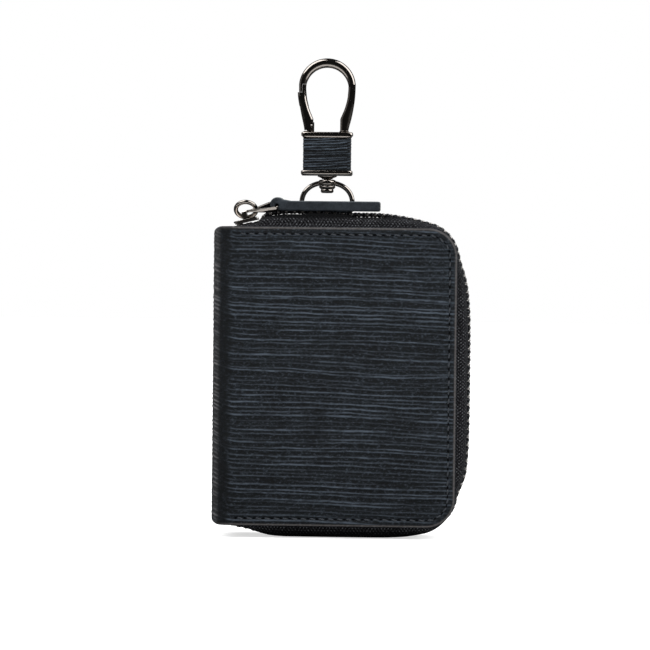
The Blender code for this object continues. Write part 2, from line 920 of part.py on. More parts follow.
# Strap, folded round the clip's wide end
half_strap = strap_thickness / 2
strap_right = strap_length - strap_left
strap_outline = arc((half_strap - strap_left, 0), half_strap, 90, 270, corner_steps)
strap_outline += arc(
    (strap_right - strap_end_round, strap_end_round - half_strap), strap_end_round, -90, 0, 3
)
strap_outline += arc(
    (strap_right - strap_end_round, half_strap - strap_end_round), strap_end_round, 0, 90, 3
)
strap_eye = arc((0, 0), clip_wire + fit_gap, 0, 360, section_steps)[:-1]
pull_strap = plate(
    "pull_strap", [strap_outline, strap_eye], strap_width, strap_pivot, "XZ", smooth_leather
)

# D-ring
arch_centre_z = dring_z + dring_leg
dring_points = [(hook_x - dring_half_width, dring_y, dring_z)]
for x, z in arc((0, 0), 1, 180, 0, arch_steps):
    dring_points.append(
        (hook_x + dring_half_width * x, dring_y, arch_centre_z + dring_arch * z)
    )
dring_points.append((hook_x + dring_half_width, dring_y, dring_z))
d_ring = tube("d_ring", dring_points, dring_wire, gun_metal, closed=True)
d_eye = rod("d_eye", eye_radius, eye_height, (hook_x, dring_y, eye_z), "Z")
combine(d_ring, d_eye, "UNION")
post_bore = rod(
    "post_bore",
    post_radius + fit_gap,
    2 * eye_height,
    (hook_x, dring_y, eye_z),
    "Z",
    group=cutters,
)
combine(d_ring, post_bore, "DIFFERENCE")

# Swivel post and washer
eye_low = eye_z - eye_height / 2
washer_top = eye_low - fit_gap
washer_low = washer_top - washer_height
button_top = washer_low - fit_gap
flare_low = eye_z + eye_height / 2 + fit_gap
swivel_post = turned(
    "swivel_post",
    [
        (0, spool_z + post_seat - fit_gap),
        (post_radius, spool_z + post_seat - fit_gap),
        (post_radius, spool_z - fit_gap),
        (post_flare_radius, spool_z - fit_gap),
        (post_neck_radius, flare_low + fit_gap),
        (post_neck_radius, flare_low),
        (post_radius, flare_low),
        (post_radius, button_top),
        (post_button_radius, button_top),
        (post_button_radius, button_top - post_button_height * 0.7),
        (post_button_radius * 0.75, button_top - post_button_height),
        (0, button_top - post_button_height),
    ],
    gun_metal,
)
swivel_post.location = (hook_x, dring_y, 0)
swivel_washer = turned(
    "swivel_washer",
    [
        (post_radius + fit_gap, washer_top),
        (washer_radius, washer_top),
        (washer_radius, washer_low),
        (post_radius + fit_gap, washer_low),
    ],
    gun_metal,
    hollow=True,
)
swivel_washer.location = (hook_x, dring_y, 0)

# Snap hook frame: spool with two flanges, and the crown with a stepped nose
hook_origin = Vector((hook_x, dring_y, 0))


def spool_slice(name, half_width, half_depth_, low, high):
    middle = hook_origin + Vector((0, 0, (low + high) / 2))
    outline = [stadium(half_width, half_depth_)]
    return plate(name, outline, high - low, middle, "XY", gun_metal)


core_half_width = wrap_half_width - wrap_thickness - fit_gap
core_half_depth = wrap_half_depth - wrap_thickness - fit_gap
wrap_low = spool_z + lower_flange
wrap_high = wrap_low + spool_height
hook_frame = spool_slice(
    "hook_frame", flange_half_width, flange_half_depth, spool_z, wrap_low
)
round_edges(hook_frame, leather_edge_round)
post_seat_bore = rod(
    "post_seat_bore",
    post_radius + fit_gap,
    2 * post_seat,
    hook_origin + Vector((0, 0, spool_z)),
    "Z",
    group=cutters,
)
combine(hook_frame, post_seat_bore, "DIFFERENCE")
spool_core = spool_slice(
    "spool_core",
    core_half_width,
    core_half_depth,
    wrap_low - fit_gap / 2,
    wrap_high + upper_flange / 2,
)
upper = spool_slice(
    "spool_upper", flange_half_width, flange_half_depth, wrap_high, crown_base_z
)
round_edges(upper, leather_edge_round)
combine(hook_frame, spool_core, "UNION")
combine(hook_frame, upper, "UNION")


def leg_halves(height):
    """Outer and inner half widths of the hook at a height above its base."""
    if height >= crown_rise:
        up = height - crown_rise
        outer = math.sqrt(crown_half_width**2 - up**2)
        inner = math.sqrt(crown_inner_half**2 - (up + crown_inner_drop) ** 2)
        return outer, inner
    share = max(height, 0) / crown_rise
    for low, high in zip(leg_outline_shares, leg_outline_shares[1:]):
        if share <= high[0]:
            between = (share - low[0]) / (high[0] - low[0])
            outer = low[1] + (high[1] - low[1]) * between
            inner = low[2] + (high[2] - low[2]) * between
            return outer * crown_half_width, inner * crown_inner_half
    return crown_half_width, crown_inner_half


def crown_sections(heights_right, heights_left):
    """Pairs of outer and inner points round the crown, from the right foot to the left nose."""
    pairs = []
    for height in heights_right:
        outer, inner = leg_halves(height)
        pairs.append(((outer, height), (inner, height)))
    steps = arch_steps
    for i in range(1, steps):
        angle = math.pi * i / steps
        across, up = math.cos(angle), math.sin(angle)
        outer = (crown_half_width * across, crown_rise + crown_half_width * up)
        inner = (
            crown_inner_half * across,
            crown_rise - crown_inner_drop + crown_inner_half * up,
        )
        pairs.append((outer, inner))
    for height in heights_left:
        outer, inner = leg_halves(height)
        pairs.append(((-outer, height), (-inner, height)))
    return pairs


def loft(name, pairs, half_depth_, material):
    """A rod of oval sections, each between an outer and an inner point of (x, height)."""
    shape = bmesh.new()
    rings = []
    for outer, inner in pairs:
        centre = Vector(((outer[0] + inner[0]) / 2, 0, (outer[1] + inner[1]) / 2))
        reach = Vector(((outer[0] - inner[0]) / 2, 0, (outer[1] - inner[1]) / 2))
        ring = []
        for k in range(section_steps):
            angle = 2 * math.pi * k / section_steps
            out, deep = math.cos(angle), math.sin(angle)
            squash_out = math.copysign(abs(out) ** 0.8, out)
            squash_deep = math.copysign(abs(deep) ** 0.8, deep)
            depth = Vector((0, half_depth_ * squash_deep, 0))
            ring.append(shape.verts.new(centre + reach * squash_out + depth))
        rings.append(ring)
    for one, two in zip(rings, rings[1:]):
        for k in range(section_steps):
            following = (k + 1) % section_steps
            shape.faces.new((one[k], one[following], two[following], two[k]))
    shape.faces.new(rings[0])
    shape.faces.new(reversed(rings[-1]))
    made = from_bmesh(name, shape, material)
    made.location = hook_origin + Vector((0, 0, crown_base_z))
    made.data.shade_smooth()
    return made


leg_heights = [crown_rise * share for share in (0.12, 0.2, 0.29, 0.4, 0.52, 0.63, 0.73, 0.86, 1.0)]
nose_low = crown_rise - gate_lip_bottom
crown = loft(
    "crown",
    crown_sections([-upper_flange / 2, fit_gap] + leg_heights, [crown_rise, nose_low]),
    crown_half_depth,
    gun_metal,
)
mid_leg = (crown_half_width + crown_inner_half) / 2
nose_step = block(
    "nose_step",
    (-mid_leg - fit_gap / 2, -2 * crown_half_depth, nose_low - cut_overrun),
    (-crown_inner_half + cut_overrun, 2 * crown_half_depth, crown_rise + gate_lip_top + fit_gap),
)
nose_step.location += hook_origin + Vector((0, 0, crown_base_z))
combine(crown, nose_step, "DIFFERENCE")
lug = block(
    "gate_lug",
    (-gate_pin_x - lug_half_width, -lug_thickness / 2, -upper_flange / 2),
    (-gate_pin_x + lug_half_width, lug_thickness / 2, lug_height),
)
lug.location += hook_origin + Vector((0, 0, crown_base_z))
combine(crown, lug, "UNION")
pin_middle = hook_origin + Vector((-gate_pin_x, 0, crown_base_z + gate_pin_z))
pin_bore = rod(
    "pin_bore",
    gate_pin_radius + fit_gap,
    4 * crown_half_depth,
    pin_middle,
    "Y",
    group=cutters,
    sides=section_steps,
)
combine(crown, pin_bore, "DIFFERENCE")
combine(hook_frame, crown, "UNION")

# Leather wrap round the spool
leather_wrap = plate(
    "leather_wrap",
    [
        stadium(wrap_half_width, wrap_half_depth),
        stadium(wrap_half_width - wrap_thickness, wrap_half_depth - wrap_thickness),
    ],
    spool_height - 2 * fit_gap,
    hook_origin + Vector((0, 0, (wrap_low + wrap_high) / 2)),
    "XY",
    ridged_leather,
)

# Sprung gate: a forked foot on its pin, a hollow for the leaf spring, and a stepped lip
gate_heights = [gate_foot_gap] + leg_heights + [crown_rise + gate_lip_top]
gate_pairs = []
for height in gate_heights:
    outer, inner = leg_halves(height)
    gate_pairs.append(((-outer, height), (-inner, height)))
hook_gate = loft("hook_gate", gate_pairs, crown_half_depth, gun_metal)
lip_step = block(
    "lip_step",
    (-crown_half_width - cut_overrun, -2 * crown_half_depth, nose_low - fit_gap),
    (-mid_leg + fit_gap / 2, 2 * crown_half_depth, crown_rise + cut_overrun),
)
fork = block(
    "gate_fork",
    (-crown_half_width - cut_overrun, -lug_thickness / 2 - fit_gap, -cut_overrun),
    (0, lug_thickness / 2 + fit_gap, gate_slot_height),
)
pocket = block(
    "gate_pocket",
    (-gate_pin_x - lug_half_width - spring_leaf, -lug_thickness / 2 - fit_gap, gate_slot_height / 2),
    (0, lug_thickness / 2 + fit_gap, gate_pocket_height),
)
for tool in (lip_step, fork, pocket):
    tool.location += hook_origin + Vector((0, 0, crown_base_z))
    combine(hook_gate, tool, "DIFFERENCE")
gate_bore = rod(
    "gate_bore",
    gate_pin_radius + fit_gap,
    4 * crown_half_depth,
    pin_middle,
    "Y",
    group=cutters,
    sides=section_steps,
)
combine(hook_gate, gate_bore, "DIFFERENCE")
gate_pin = rod(
    "gate_pin", gate_pin_radius, 2 * crown_half_depth, pin_middle, "Y", gun_metal
)
leaf_low = crown_base_z + lug_height + fit_gap
leaf_x = hook_x - gate_pin_x - lug_half_width
gate_spring = block(
    "gate_spring",
    (leaf_x, dring_y - spring_width / 2, leaf_low),
    (leaf_x + spring_leaf, dring_y + spring_width / 2, leaf_low + spring_height),
    spring_steel,
)

# Key rail: a riveted plate whose two ears carry a rod
plate_outer = lining_inner_y - fit_gap
plate_inner = plate_outer - rail_plate
rail_low = rail_top_z - rail_height
key_rail = block(
    "key_rail",
    (rail_x - rail_length / 2, plate_inner, rail_low),
    (rail_x + rail_length / 2, plate_outer, rail_top_z),
    gun_metal,
)
round_edges(key_rail, rail_plate / 3)
for side in (-1, 1):
    outer = rail_x + side * (rail_length - rail_plate) / 2
    inner = outer - side * rail_ear
    ear = block(
        f"rail_ear_{side}",
        (min(outer, inner), rod_y - 1.5 * rod_radius, rod_z - 1.5 * rod_radius),
        (max(outer, inner), plate_outer - rail_plate / 2, rail_low + rail_height / 4),
    )
    combine(key_rail, ear, "UNION")
rail_rod = rod(
    "rail_rod", rod_radius, rail_length - rail_ear, (rail_x, rod_y, rod_z), "X", sides=16
)
combine(key_rail, rail_rod, "UNION")
rivets = []
for label, side in (("left", -1), ("right", 1)):
    x = rail_x + side * (rail_length / 2 - rivet_inset)
    z = rail_top_z - rail_height * 0.4
    for target in (key_rail, back_lining):
        hole = rod(
            f"rivet_hole_{label}_{target.name}",
            rivet_radius + fit_gap,
            rail_plate + lining + cut_overrun,
            (x, lining_inner_y, z),
            "Y",
            group=cutters,
        )
        combine(target, hole, "DIFFERENCE")
    head_y = plate_inner - fit_gap
    rivet = turned(
        f"rail_rivet_{label}",
        [
            (0, lining_outer_y),
            (rivet_radius, lining_outer_y),
            (rivet_radius, head_y),
            (rivet_head, head_y),
            (rivet_head * 0.7, head_y - rivet_head_height),
            (0, head_y - rivet_head_height),
        ],
        gun_metal,
    )
    rivet.matrix_world = Matrix.Translation((x, 0, z)) @ Matrix.Rotation(-math.pi / 2, 4, "X")
    rivets.append(rivet)


def key_hook_line():
    """The wire of a key hook, in the YZ plane about its eye: eye, shank, bend and tongue."""
    points = arc((0, 0), key_eye_radius, 300, 0, 10)
    points = [(y, z) for y, z in points]
    shank_y = key_eye_radius
    points.append((shank_y, -key_shank / 2))
    points.append((shank_y, -key_shank))
    bend_y = shank_y - key_bend_radius
    points += arc((bend_y, -key_shank), key_bend_radius, 0, -180, 8)[1:]
    front_y = bend_y - key_bend_radius
    points.append((front_y, -key_shank + key_return / 2))
    points.append((front_y, -key_shank + key_return))
    tongue_y = shank_y - 2 * key_wire - fit_gap
    points.append((tongue_y, -key_shank + key_return + key_tongue))
    return [(0, y, z) for y, z in points]


key_hooks = []
for i in range(key_hook_count):
    key_hook = tube(f"key_hook_{i + 1}", key_hook_line(), key_wire, gun_metal, resolution=1)
    x = rail_x + (i - (key_hook_count - 1) / 2) * key_hook_pitch
    key_hook.location = (x, rod_y, rod_z)
    key_hooks.append(key_hook)


def card_pocket(name, height, layer):
    """A leather pocket sheet with a shallow dip in its top edge for the thumb."""
    low = base_lift + pocket_inset
    top = low + height
    right = edge_x - pocket_inset
    left = seam_x + fit_gap
    corner = cover_corner - pocket_inset
    outline = [(left, low)]
    outline += arc((right - corner, low + corner), corner, -90, 0, corner_steps)
    outline.append((right, top))
    dip = []
    for step in range(1, corner_steps * 2):
        share = step / (corner_steps * 2)
        drop = pocket_dip * math.sin(math.pi * share) ** 2
        dip.append((right + (left - right) * share, top - drop))
    outline += dip + [(left, top)]
    y = -lining_inner_y + fit_gap + pocket_leather / 2 + layer * (pocket_leather + fit_gap)
    return plate(name, [outline], pocket_leather, (0, y, 0), "XZ", smooth_leather)


upper_pocket = card_pocket("card_pocket_upper", pocket_upper_height, 0)
lower_pocket = card_pocket("card_pocket_lower", pocket_lower_height, 1)

# Joints: an empty on each axis carries the pieces that move with it
spine_axis = carrier("spine_axis", (hinge_x, half_depth, base_lift))
front_axis = carrier("front_axis", (hinge_x, -half_depth, base_lift), spine_axis)
for piece in (spine_cover, spine_board, spine_lining):
    hang(piece, spine_axis)
front_pieces = (front_cover, front_board, front_lining, front_tape, front_chain)
for piece in front_pieces + (upper_pocket, lower_pocket):
    hang(piece, front_axis)
hang(slider_body, slider_axis)
ring_axis = carrier("ring_axis", ring_middle, slider_axis)
hang(pull_ring, ring_axis)
clip_axis = carrier("clip_axis", clip_pivot, ring_axis)
hang(pull_clip, clip_axis)
strap_axis = carrier("strap_axis", strap_pivot, clip_axis)
hang(pull_strap, strap_axis)
dring_axis = carrier("dring_axis", (hook_x, dring_y, dring_z))
hang(d_ring, dring_axis)
swivel_axis = carrier("swivel_axis", (hook_x, dring_y, spool_z), dring_axis)
for piece in (hook_frame, leather_wrap, swivel_post, swivel_washer, gate_pin, gate_spring):
    hang(piece, swivel_axis)
gate_axis = carrier("gate_axis", pin_middle, swivel_axis)
hang(hook_gate, gate_axis)
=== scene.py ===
import math
from contextlib import contextmanager

import bmesh
import bpy
import numpy as np
from mathutils import Matrix, Vector


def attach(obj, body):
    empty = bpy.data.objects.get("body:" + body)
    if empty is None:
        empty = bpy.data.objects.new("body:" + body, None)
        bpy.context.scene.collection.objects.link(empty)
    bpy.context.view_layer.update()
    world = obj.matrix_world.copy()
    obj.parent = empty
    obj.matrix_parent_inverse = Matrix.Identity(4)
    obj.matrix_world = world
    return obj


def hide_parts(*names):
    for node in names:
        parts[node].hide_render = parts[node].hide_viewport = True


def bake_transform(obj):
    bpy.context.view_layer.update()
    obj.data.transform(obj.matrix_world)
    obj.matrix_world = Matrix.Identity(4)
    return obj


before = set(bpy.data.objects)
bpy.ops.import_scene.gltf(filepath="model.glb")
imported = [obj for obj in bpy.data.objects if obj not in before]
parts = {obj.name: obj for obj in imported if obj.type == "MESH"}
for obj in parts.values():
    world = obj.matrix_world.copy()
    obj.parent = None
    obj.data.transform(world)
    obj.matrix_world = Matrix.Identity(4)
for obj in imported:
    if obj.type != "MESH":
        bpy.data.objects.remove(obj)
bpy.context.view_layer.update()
mm = 0.001
tau = 2 * math.pi
print("frame loaded:", len(parts), "nodes")

# All lengths below are in millimetres, in the frame's axes.

caseSize = {
    "left": -42.3,
    "right": 37.95,
    "hinge": -35.8,
    "seam": -35.65,
    "bottom": 4.0,
    "top": 102.0,
    "half": 13.0,
    "corner": 9.5,
    "spineRound": 6.5,
    "endRound": 3.0,
    "leather": 1.3,
}

# Meshes


@contextmanager
def editing(mesh):
    shape = bmesh.new()
    shape.from_mesh(mesh)
    yield shape
    shape.to_mesh(mesh)
    shape.free()


def tidyMesh(mesh, material=None):
    if material:
        mesh.materials.clear()
        mesh.materials.append(material)
    with editing(mesh) as shape:
        bmesh.ops.remove_doubles(shape, verts=shape.verts, dist=0.0000005)
        bmesh.ops.recalc_face_normals(shape, faces=shape.faces)


def putIn(name, data):
    piece = bpy.data.objects.new(name, data)
    bpy.context.scene.collection.objects.link(piece)
    return piece


def addPiece(name, points, faces, material, smooth=True, shades=None, uv=None):
    mesh = bpy.data.meshes.new(name)
    mesh.from_pydata((np.asarray(points, float) * mm).tolist(), [], faces)
    if uv is not None:
        layer = mesh.uv_layers.new(name="weave")
        corner = np.empty(len(mesh.loops), np.int32)
        mesh.loops.foreach_get("vertex_index", corner)
        layer.data.foreach_set("uv", np.asarray(uv, np.float32)[corner].ravel())
    for word, values in (shades or {}).items():
        spot = mesh.attributes.new(word, "FLOAT", "POINT")
        spot.data.foreach_set("value", np.asarray(values, np.float32).ravel())
    tidyMesh(mesh, material)
    if smooth:
        mesh.shade_smooth()
    return putIn(name, mesh)


def gridFaces(rows, cols, first=0, closedRows=False, closedCols=False):
    faces = []
    for i in range(rows if closedRows else rows - 1):
        here, above = first + i * cols, first + (i + 1) % rows * cols
        for j in range(cols if closedCols else cols - 1):
            k = (j + 1) % cols
            faces.append((here + j, here + k, above + k, above + j))
    return faces


def cappedFaces(rows, ring, first=0):
    ends = [tuple(first + low + k for k in range(ring)) for low in (0, (rows - 1) * ring)]
    return gridFaces(rows, ring, first, closedCols=True) + ends


def addStacks(name, stacks, material, angle=None):  # each stack is a list of rings, closed at both ends
    points, faces = [], []
    for rings in stacks:
        faces += cappedFaces(len(rings), len(rings[0]), len(points))
        points += [point for ring in rings for point in ring]
    piece = addPiece(name, points, faces, material)
    return shadeByAngle(piece, angle) if angle else piece


def bakeModifiers(piece):
    graph = bpy.context.evaluated_depsgraph_get()
    mesh = bpy.data.meshes.new_from_object(piece.evaluated_get(graph))
    piece.modifiers.clear()
    piece.data = mesh


def combine(piece, other, operation="UNION"):
    step = piece.modifiers.new("combine", "BOOLEAN")
    step.operation = operation
    step.object = other
    step.solver = "EXACT"
    bakeModifiers(piece)
    bpy.data.objects.remove(other)


def shadeByAngle(piece, angle):
    piece.data.shade_smooth()
    with editing(piece.data) as shape:
        for edge in shape.edges:
            if len(edge.link_faces) == 2:
                edge.smooth = edge.calc_face_angle() < math.radians(angle)
    return piece


def ease(share):
    share = np.clip(share, 0, 1)
    return share * share * (3 - 2 * share)


def ramp(value, start, over):
    return ease((value - start) / over)


def hump(value, middle, width, power=2):
    return np.exp(-(((value - middle) / width) ** power))


def unit(vectors):
    return vectors / np.linalg.norm(vectors, axis=-1, keepdims=True)


def squared(value, power):
    return math.copysign(abs(value) ** power, value)


def runAlong(line):
    return np.concatenate([[0], np.cumsum(np.linalg.norm(np.diff(line, axis=0), axis=1))])


def spotsOn(line, run, where):
    return np.stack([np.interp(where, run, line[:, k]) for k in (0, 1)], -1)


def besideLine(spot, turn, along, up, y):
    return spot[0] + turn[0] * along - turn[1] * up, y, spot[1] + turn[1] * along + turn[0] * up


def arc(x, y, radius, start, end, steps):
    angles = np.radians(np.linspace(start, end, steps + 1))
    return list(zip(x + radius * np.cos(angles), y + radius * np.sin(angles)))


def circle(radius, steps):
    return arc(0, 0, radius, 0, 360, steps)[:-1]


def roundedRect(halfWidth, halfHeight, radius, steps=5):
    radius = min(radius, halfWidth - 0.001, halfHeight - 0.001)
    wide, tall = halfWidth - radius, halfHeight - radius
    middles = ((wide, -tall, -90), (wide, tall, 0), (-wide, tall, 90), (-wide, -tall, 180))
    return [point for x, y, start in middles for point in arc(x, y, radius, start, start + 90, steps)]


def sweep(name, path, sections, wide, material, closed=False, capRound=0.0, uv=False):
    path, wide = np.asarray(path, float), np.asarray(wide, float)
    tangent = unit(np.roll(path, -1, 0) - np.roll(path, 1, 0) if closed else np.gradient(path, axis=0))
    side = unit(wide - (tangent @ wide)[:, None] * tangent)
    up = np.cross(tangent, side)
    if np.ndim(sections) == 2:
        sections = [sections] * len(path)
    sections = [np.asarray(section, float) for section in sections]

    def ringAt(i, section, push=0.0):
        return path[i] + push * tangent[i] + section[:, :1] * side[i] + section[:, 1:] * up[i]

    points = [ringAt(i, section) for i, section in enumerate(sections)]
    for angle in (62, 38, 16) if capRound else ():  # rounded ends
        inset = capRound * (1 - math.sin(math.radians(angle)))
        reach = capRound * math.cos(math.radians(angle))
        head, tail = (
            ringAt(end, sections[end] * (1 - inset / np.maximum(np.abs(sections[end]).max(0), capRound)), push)
            for end, push in ((0, -reach), (-1, reach))
        )
        points = [head] + points + [tail]
    rows, cols = len(points), len(points[0])
    faces = gridFaces(rows, cols, closedRows=True, closedCols=True) if closed else cappedFaces(rows, cols)
    coords = None
    if uv:
        run = runAlong(np.array([ring.mean(0) for ring in points]))
        coords = np.stack([np.repeat(run, cols), np.tile(np.arange(cols) * 0.3, rows)], 1)
    return addPiece(name, np.concatenate(points), faces, material, uv=coords)


def turned(name, profile, centre, material):
    steps = 48
    points = [
        (centre[0] + radius * a, centre[1] + radius * b, centre[2] + height)
        for a, b in circle(1, steps) for radius, height in profile
    ]
    piece = addPiece(name, points, gridFaces(steps, len(profile), closedRows=True), material)
    with editing(piece.data) as shape:
        rims = [edge for edge in shape.edges if len(edge.link_faces) == 1]
        bmesh.ops.holes_fill(shape, edges=rims, sides=0)
        bmesh.ops.recalc_face_normals(shape, faces=shape.faces)
    return shadeByAngle(piece, 50)


def dress(piece, slotName, body, *nodes):
    if body:
        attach(piece, body)
    if nodes:
        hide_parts(*nodes)


# Materials


class Wiring:  # the nodes of a material, or of the world
    def __init__(self, owner):
        self.owner = owner
        owner.use_nodes = True
        self.tree = owner.node_tree

    def add(self, kind, **values):
        made = self.tree.nodes.new("ShaderNode" + kind)
        for key, value in values.items():
            if key in made.inputs:
                self.feed(made, key, value)
            else:
                setattr(made, key, value)
        return made

    def feed(self, node, key, value):
        socket = node.inputs[key]
        if isinstance(value, bpy.types.NodeSocket):
            self.tree.links.new(value, socket)
        else:
            socket.default_value = (*value, 1) if socket.type == "RGBA" else value

    def math(self, operation, a, b=0.0, clamp=False):
        made = self.add("Math", operation=operation, use_clamp=clamp)
        self.feed(made, 0, a)
        self.feed(made, 1, b)
        return made.outputs[0]

    def plus(self, a, b, clamp=False):
        return self.math("ADD", a, b, clamp)

    def minus(self, a, b, clamp=False):
        return self.math("SUBTRACT", a, b, clamp)

    def times(self, a, b, clamp=False):
        return self.math("MULTIPLY", a, b, clamp)

    def wave(self, value, length):
        return self.math("SINE", self.times(value, tau / length))

    def place(self):
        spot = self.add("TexCoord").outputs["Object"]
        return self.add("VectorMath", operation="SCALE", Vector=spot, Scale=1 / mm).outputs[0]

    def axes(self, vector):
        return self.add("SeparateXYZ", Vector=vector).outputs[:3]

    def painted(self, word):
        return self.add("Attribute", attribute_name=word).outputs["Fac"]

    def noise(self, vector, scale, detail=2.0, roughness=0.5, stretch=None):
        if stretch:
            vector = self.add("Mapping", Vector=vector, Scale=stretch).outputs[0]
        made = self.add("TexNoise", Vector=vector, Scale=scale, Detail=detail, Roughness=roughness)
        return made.outputs["Fac"]

    def mix(self, share, one, two):
        made = self.add("Mix", data_type="RGBA")
        for key, value in ((0, share), (6, one), (7, two)):
            self.feed(made, key, value)
        return made.outputs[2]

    def spread(self, value, low, high, newLow=0.0, newHigh=1.0):
        ends = {"From Min": low, "From Max": high, "To Min": newLow, "To Max": newHigh}
        return self.add("MapRange", Value=value, **ends).outputs[0]

    def bump(self, height, distance, strength, before=None):
        made = self.add("Bump", Height=height, Distance=distance * mm, Strength=strength)
        if before:
            self.feed(made, "Normal", before)
        return made.outputs[0]

    def pores(self, place, scale, edge, depth, strength):
        cells = self.add("TexVoronoi", feature="DISTANCE_TO_EDGE", Vector=place, Scale=scale)
        return self.bump(self.spread(cells.outputs["Distance"], 0.0, edge), depth, strength)

    def surface(self, colour, rough, normal=None, metal=0.0, shine=None):
        values = {"Base Color": colour, "Roughness": rough, "Metallic": metal, "Normal": normal}
        values["Specular IOR Level"] = shine
        for key, value in values.items():
            if value is not None:
                self.feed(self.tree.nodes["Principled BSDF"], key, value)
        return self.owner


def finish(name):
    return Wiring(bpy.data.materials.new(name))


leatherLook = {
    "base": (0.0060, 0.0088, 0.0116),
    "deep": (0.0016, 0.0024, 0.0032),
    "fleckAndCrestHighlight": (0.064, 0.082, 0.106),
    # colour of the painted highlight on the cut edge and the spine's bend
    "rim": (0.125, 0.116, 0.114),
    "gloss": (0.42, 0.62),
    "shine": 0.17,
}


def ridgedLeather():
    look, f = leatherLook, finish("ridgedLeather")
    place = f.place()
    ridge, rim, paintedShadeBand = (f.painted(word) for word in ("ridge", "rim", "paintedShadeBand"))
    patches = f.noise(place, 0.10, 3.0, 0.6)
    dashes = f.noise(place, 1.0, 3.0, 0.6, (0.42, 0.42, 1.5))
    grain = f.noise(place, 1.1, 4.0, 0.72, (0.9, 0.9, 1.5))
    mottle = f.spread(f.plus(grain, f.times(patches, 0.30)), 0.50, 0.80)
    colour = f.mix(mottle, look["deep"], look["base"])
    # pale flecks along the grain, in the same colour as the painted crest highlight
    colour = f.mix(f.spread(grain, 0.53, 0.68, 0.0, 0.42), colour, look["fleckAndCrestHighlight"])
    # painted highlight: the ridge crests are coloured pale, broken into dashes and patches
    strength = f.times(f.spread(dashes, 0.36, 0.60, 0.34, 1.08), f.spread(patches, 0.35, 0.62, 0.72, 1.12))
    colour = f.mix(f.times(f.spread(ridge, 0.20, 0.80), strength, True), colour, look["fleckAndCrestHighlight"])
    # painted shade: darker where the shade band attribute is high
    colour = f.mix(f.times(paintedShadeBand, 0.55), colour, look["deep"])
    # painted highlight on the cut edge and on the spine's bend
    colour = f.mix(f.times(rim, f.spread(grain, 0.3, 0.7, 0.5, 1.0)), colour, look["rim"])
    normal = f.bump(grain, 0.10, 0.8, f.pores(place, 2.4, 0.12, 0.05, 0.9))
    rough = f.spread(f.minus(grain, f.times(ridge, 0.25)), 0.1, 0.7, *look["gloss"])
    return f.surface(colour, rough, normal, shine=look["shine"])


plainLook = {
    "dark": (0.0055, 0.0080, 0.0110),
    "light": (0.026, 0.033, 0.042),
    "paintedTopHighlight": (0.105, 0.120, 0.130),
    "shine": 0.25,
}


def smoothLeather():
    look, f = plainLook, finish("smoothLeather")
    place = f.place()
    speck = f.noise(place, 2.6, 3.0, 0.65)
    shade = f.plus(f.times(f.noise(place, 0.25, 3.0, 0.6), 0.5), f.times(speck, 0.5))
    colour = f.mix(f.spread(shade, 0.38, 0.62), look["dark"], look["light"])
    facing = f.axes(f.add("NewGeometry").outputs["Normal"])[2]
    # painted highlight: lighter where the surface faces up
    colour = f.mix(f.spread(facing, 0.25, 0.9, 0.0, 0.75), colour, look["paintedTopHighlight"])
    normal = f.bump(f.noise(place, 6.0), 0.02, 0.6, f.pores(place, 2.8, 0.14, 0.03, 0.8))
    return f.surface(colour, f.spread(speck, 0.3, 0.7, 0.45, 0.66), normal, shine=look["shine"])


weaveLook = {
    "rib": 3.2,
    "yarn": 1.25,
    "stitch": 1.07,
    "row": 0.80,
    "dark": (0.0016, 0.0017, 0.0022),
    "light": (0.025, 0.025, 0.028),
    "dot": (0.190, 0.200, 0.215),
    "shadow": (0.0006, 0.0007, 0.0010),
    "shine": 0.05,
}


def wovenTape():
    look, f = weaveLook, finish("wovenTape")
    along, across = f.axes(f.add("UVMap", uv_map="weave").outputs["UV"])[:2]
    zigzag = f.times(f.math("PINGPONG", across, look["rib"] / 2), 1.3)
    twill = f.wave(f.plus(along, zigzag), look["yarn"])
    weave = f.plus(f.plus(f.times(twill, 0.45), f.times(f.wave(across, 0.4), 0.05)), 0.5)
    fuzz = f.noise(f.place(), 1.6, 4.0, 0.75)
    shade = f.plus(f.times(weave, 0.80), f.times(f.minus(fuzz, 0.55), 1.1), True)
    colour = f.mix(shade, look["dark"], look["light"])
    beat = f.times(f.wave(along, look["stitch"]), f.wave(across, 2 * look["row"]))
    dots = f.times(beat, f.spread(fuzz, 0.35, 0.6, 0.2, 1.2))
    colour = f.mix(f.spread(dots, 0.40, 0.90, 0.0, 0.55), colour, look["dot"])
    # painted shadow where the shade band attribute is high
    colour = f.mix(f.painted("paintedShadeBand"), colour, look["shadow"])
    normal = f.bump(fuzz, 0.08, 0.7, f.bump(weave, 0.20, 0.9))
    return f.surface(colour, f.spread(fuzz, 0.2, 0.8, 0.7, 0.92), normal, shine=look["shine"])


def metalFinish(name, dark, light, rough, scratch=0.004):
    f = finish(name)
    place = f.place()
    cloud = f.noise(place, 0.35, 3.0, 0.6)
    fine = f.noise(place, 2.0, 4.0, 0.7, (0.4, 3.0, 6.0))
    wear = f.spread(f.plus(f.times(cloud, 0.6), f.times(fine, 0.4)), 0.25, 0.75, *rough)
    return f.surface(f.mix(cloud, dark, light), wear, f.bump(fine, scratch, 0.5), 1.0)


def threadFinish():
    f = finish("thread")
    twist = f.add("TexWave", bands_direction="DIAGONAL", Vector=f.place(), Scale=1.6, Distortion=0.6)
    twist = twist.outputs["Fac"]
    colour = f.mix(twist, (0.008, 0.010, 0.013), (0.050, 0.060, 0.074))
    return f.surface(colour, f.spread(twist, 0.0, 1.0, 0.75, 0.55), f.bump(twist, 0.05, 0.9))


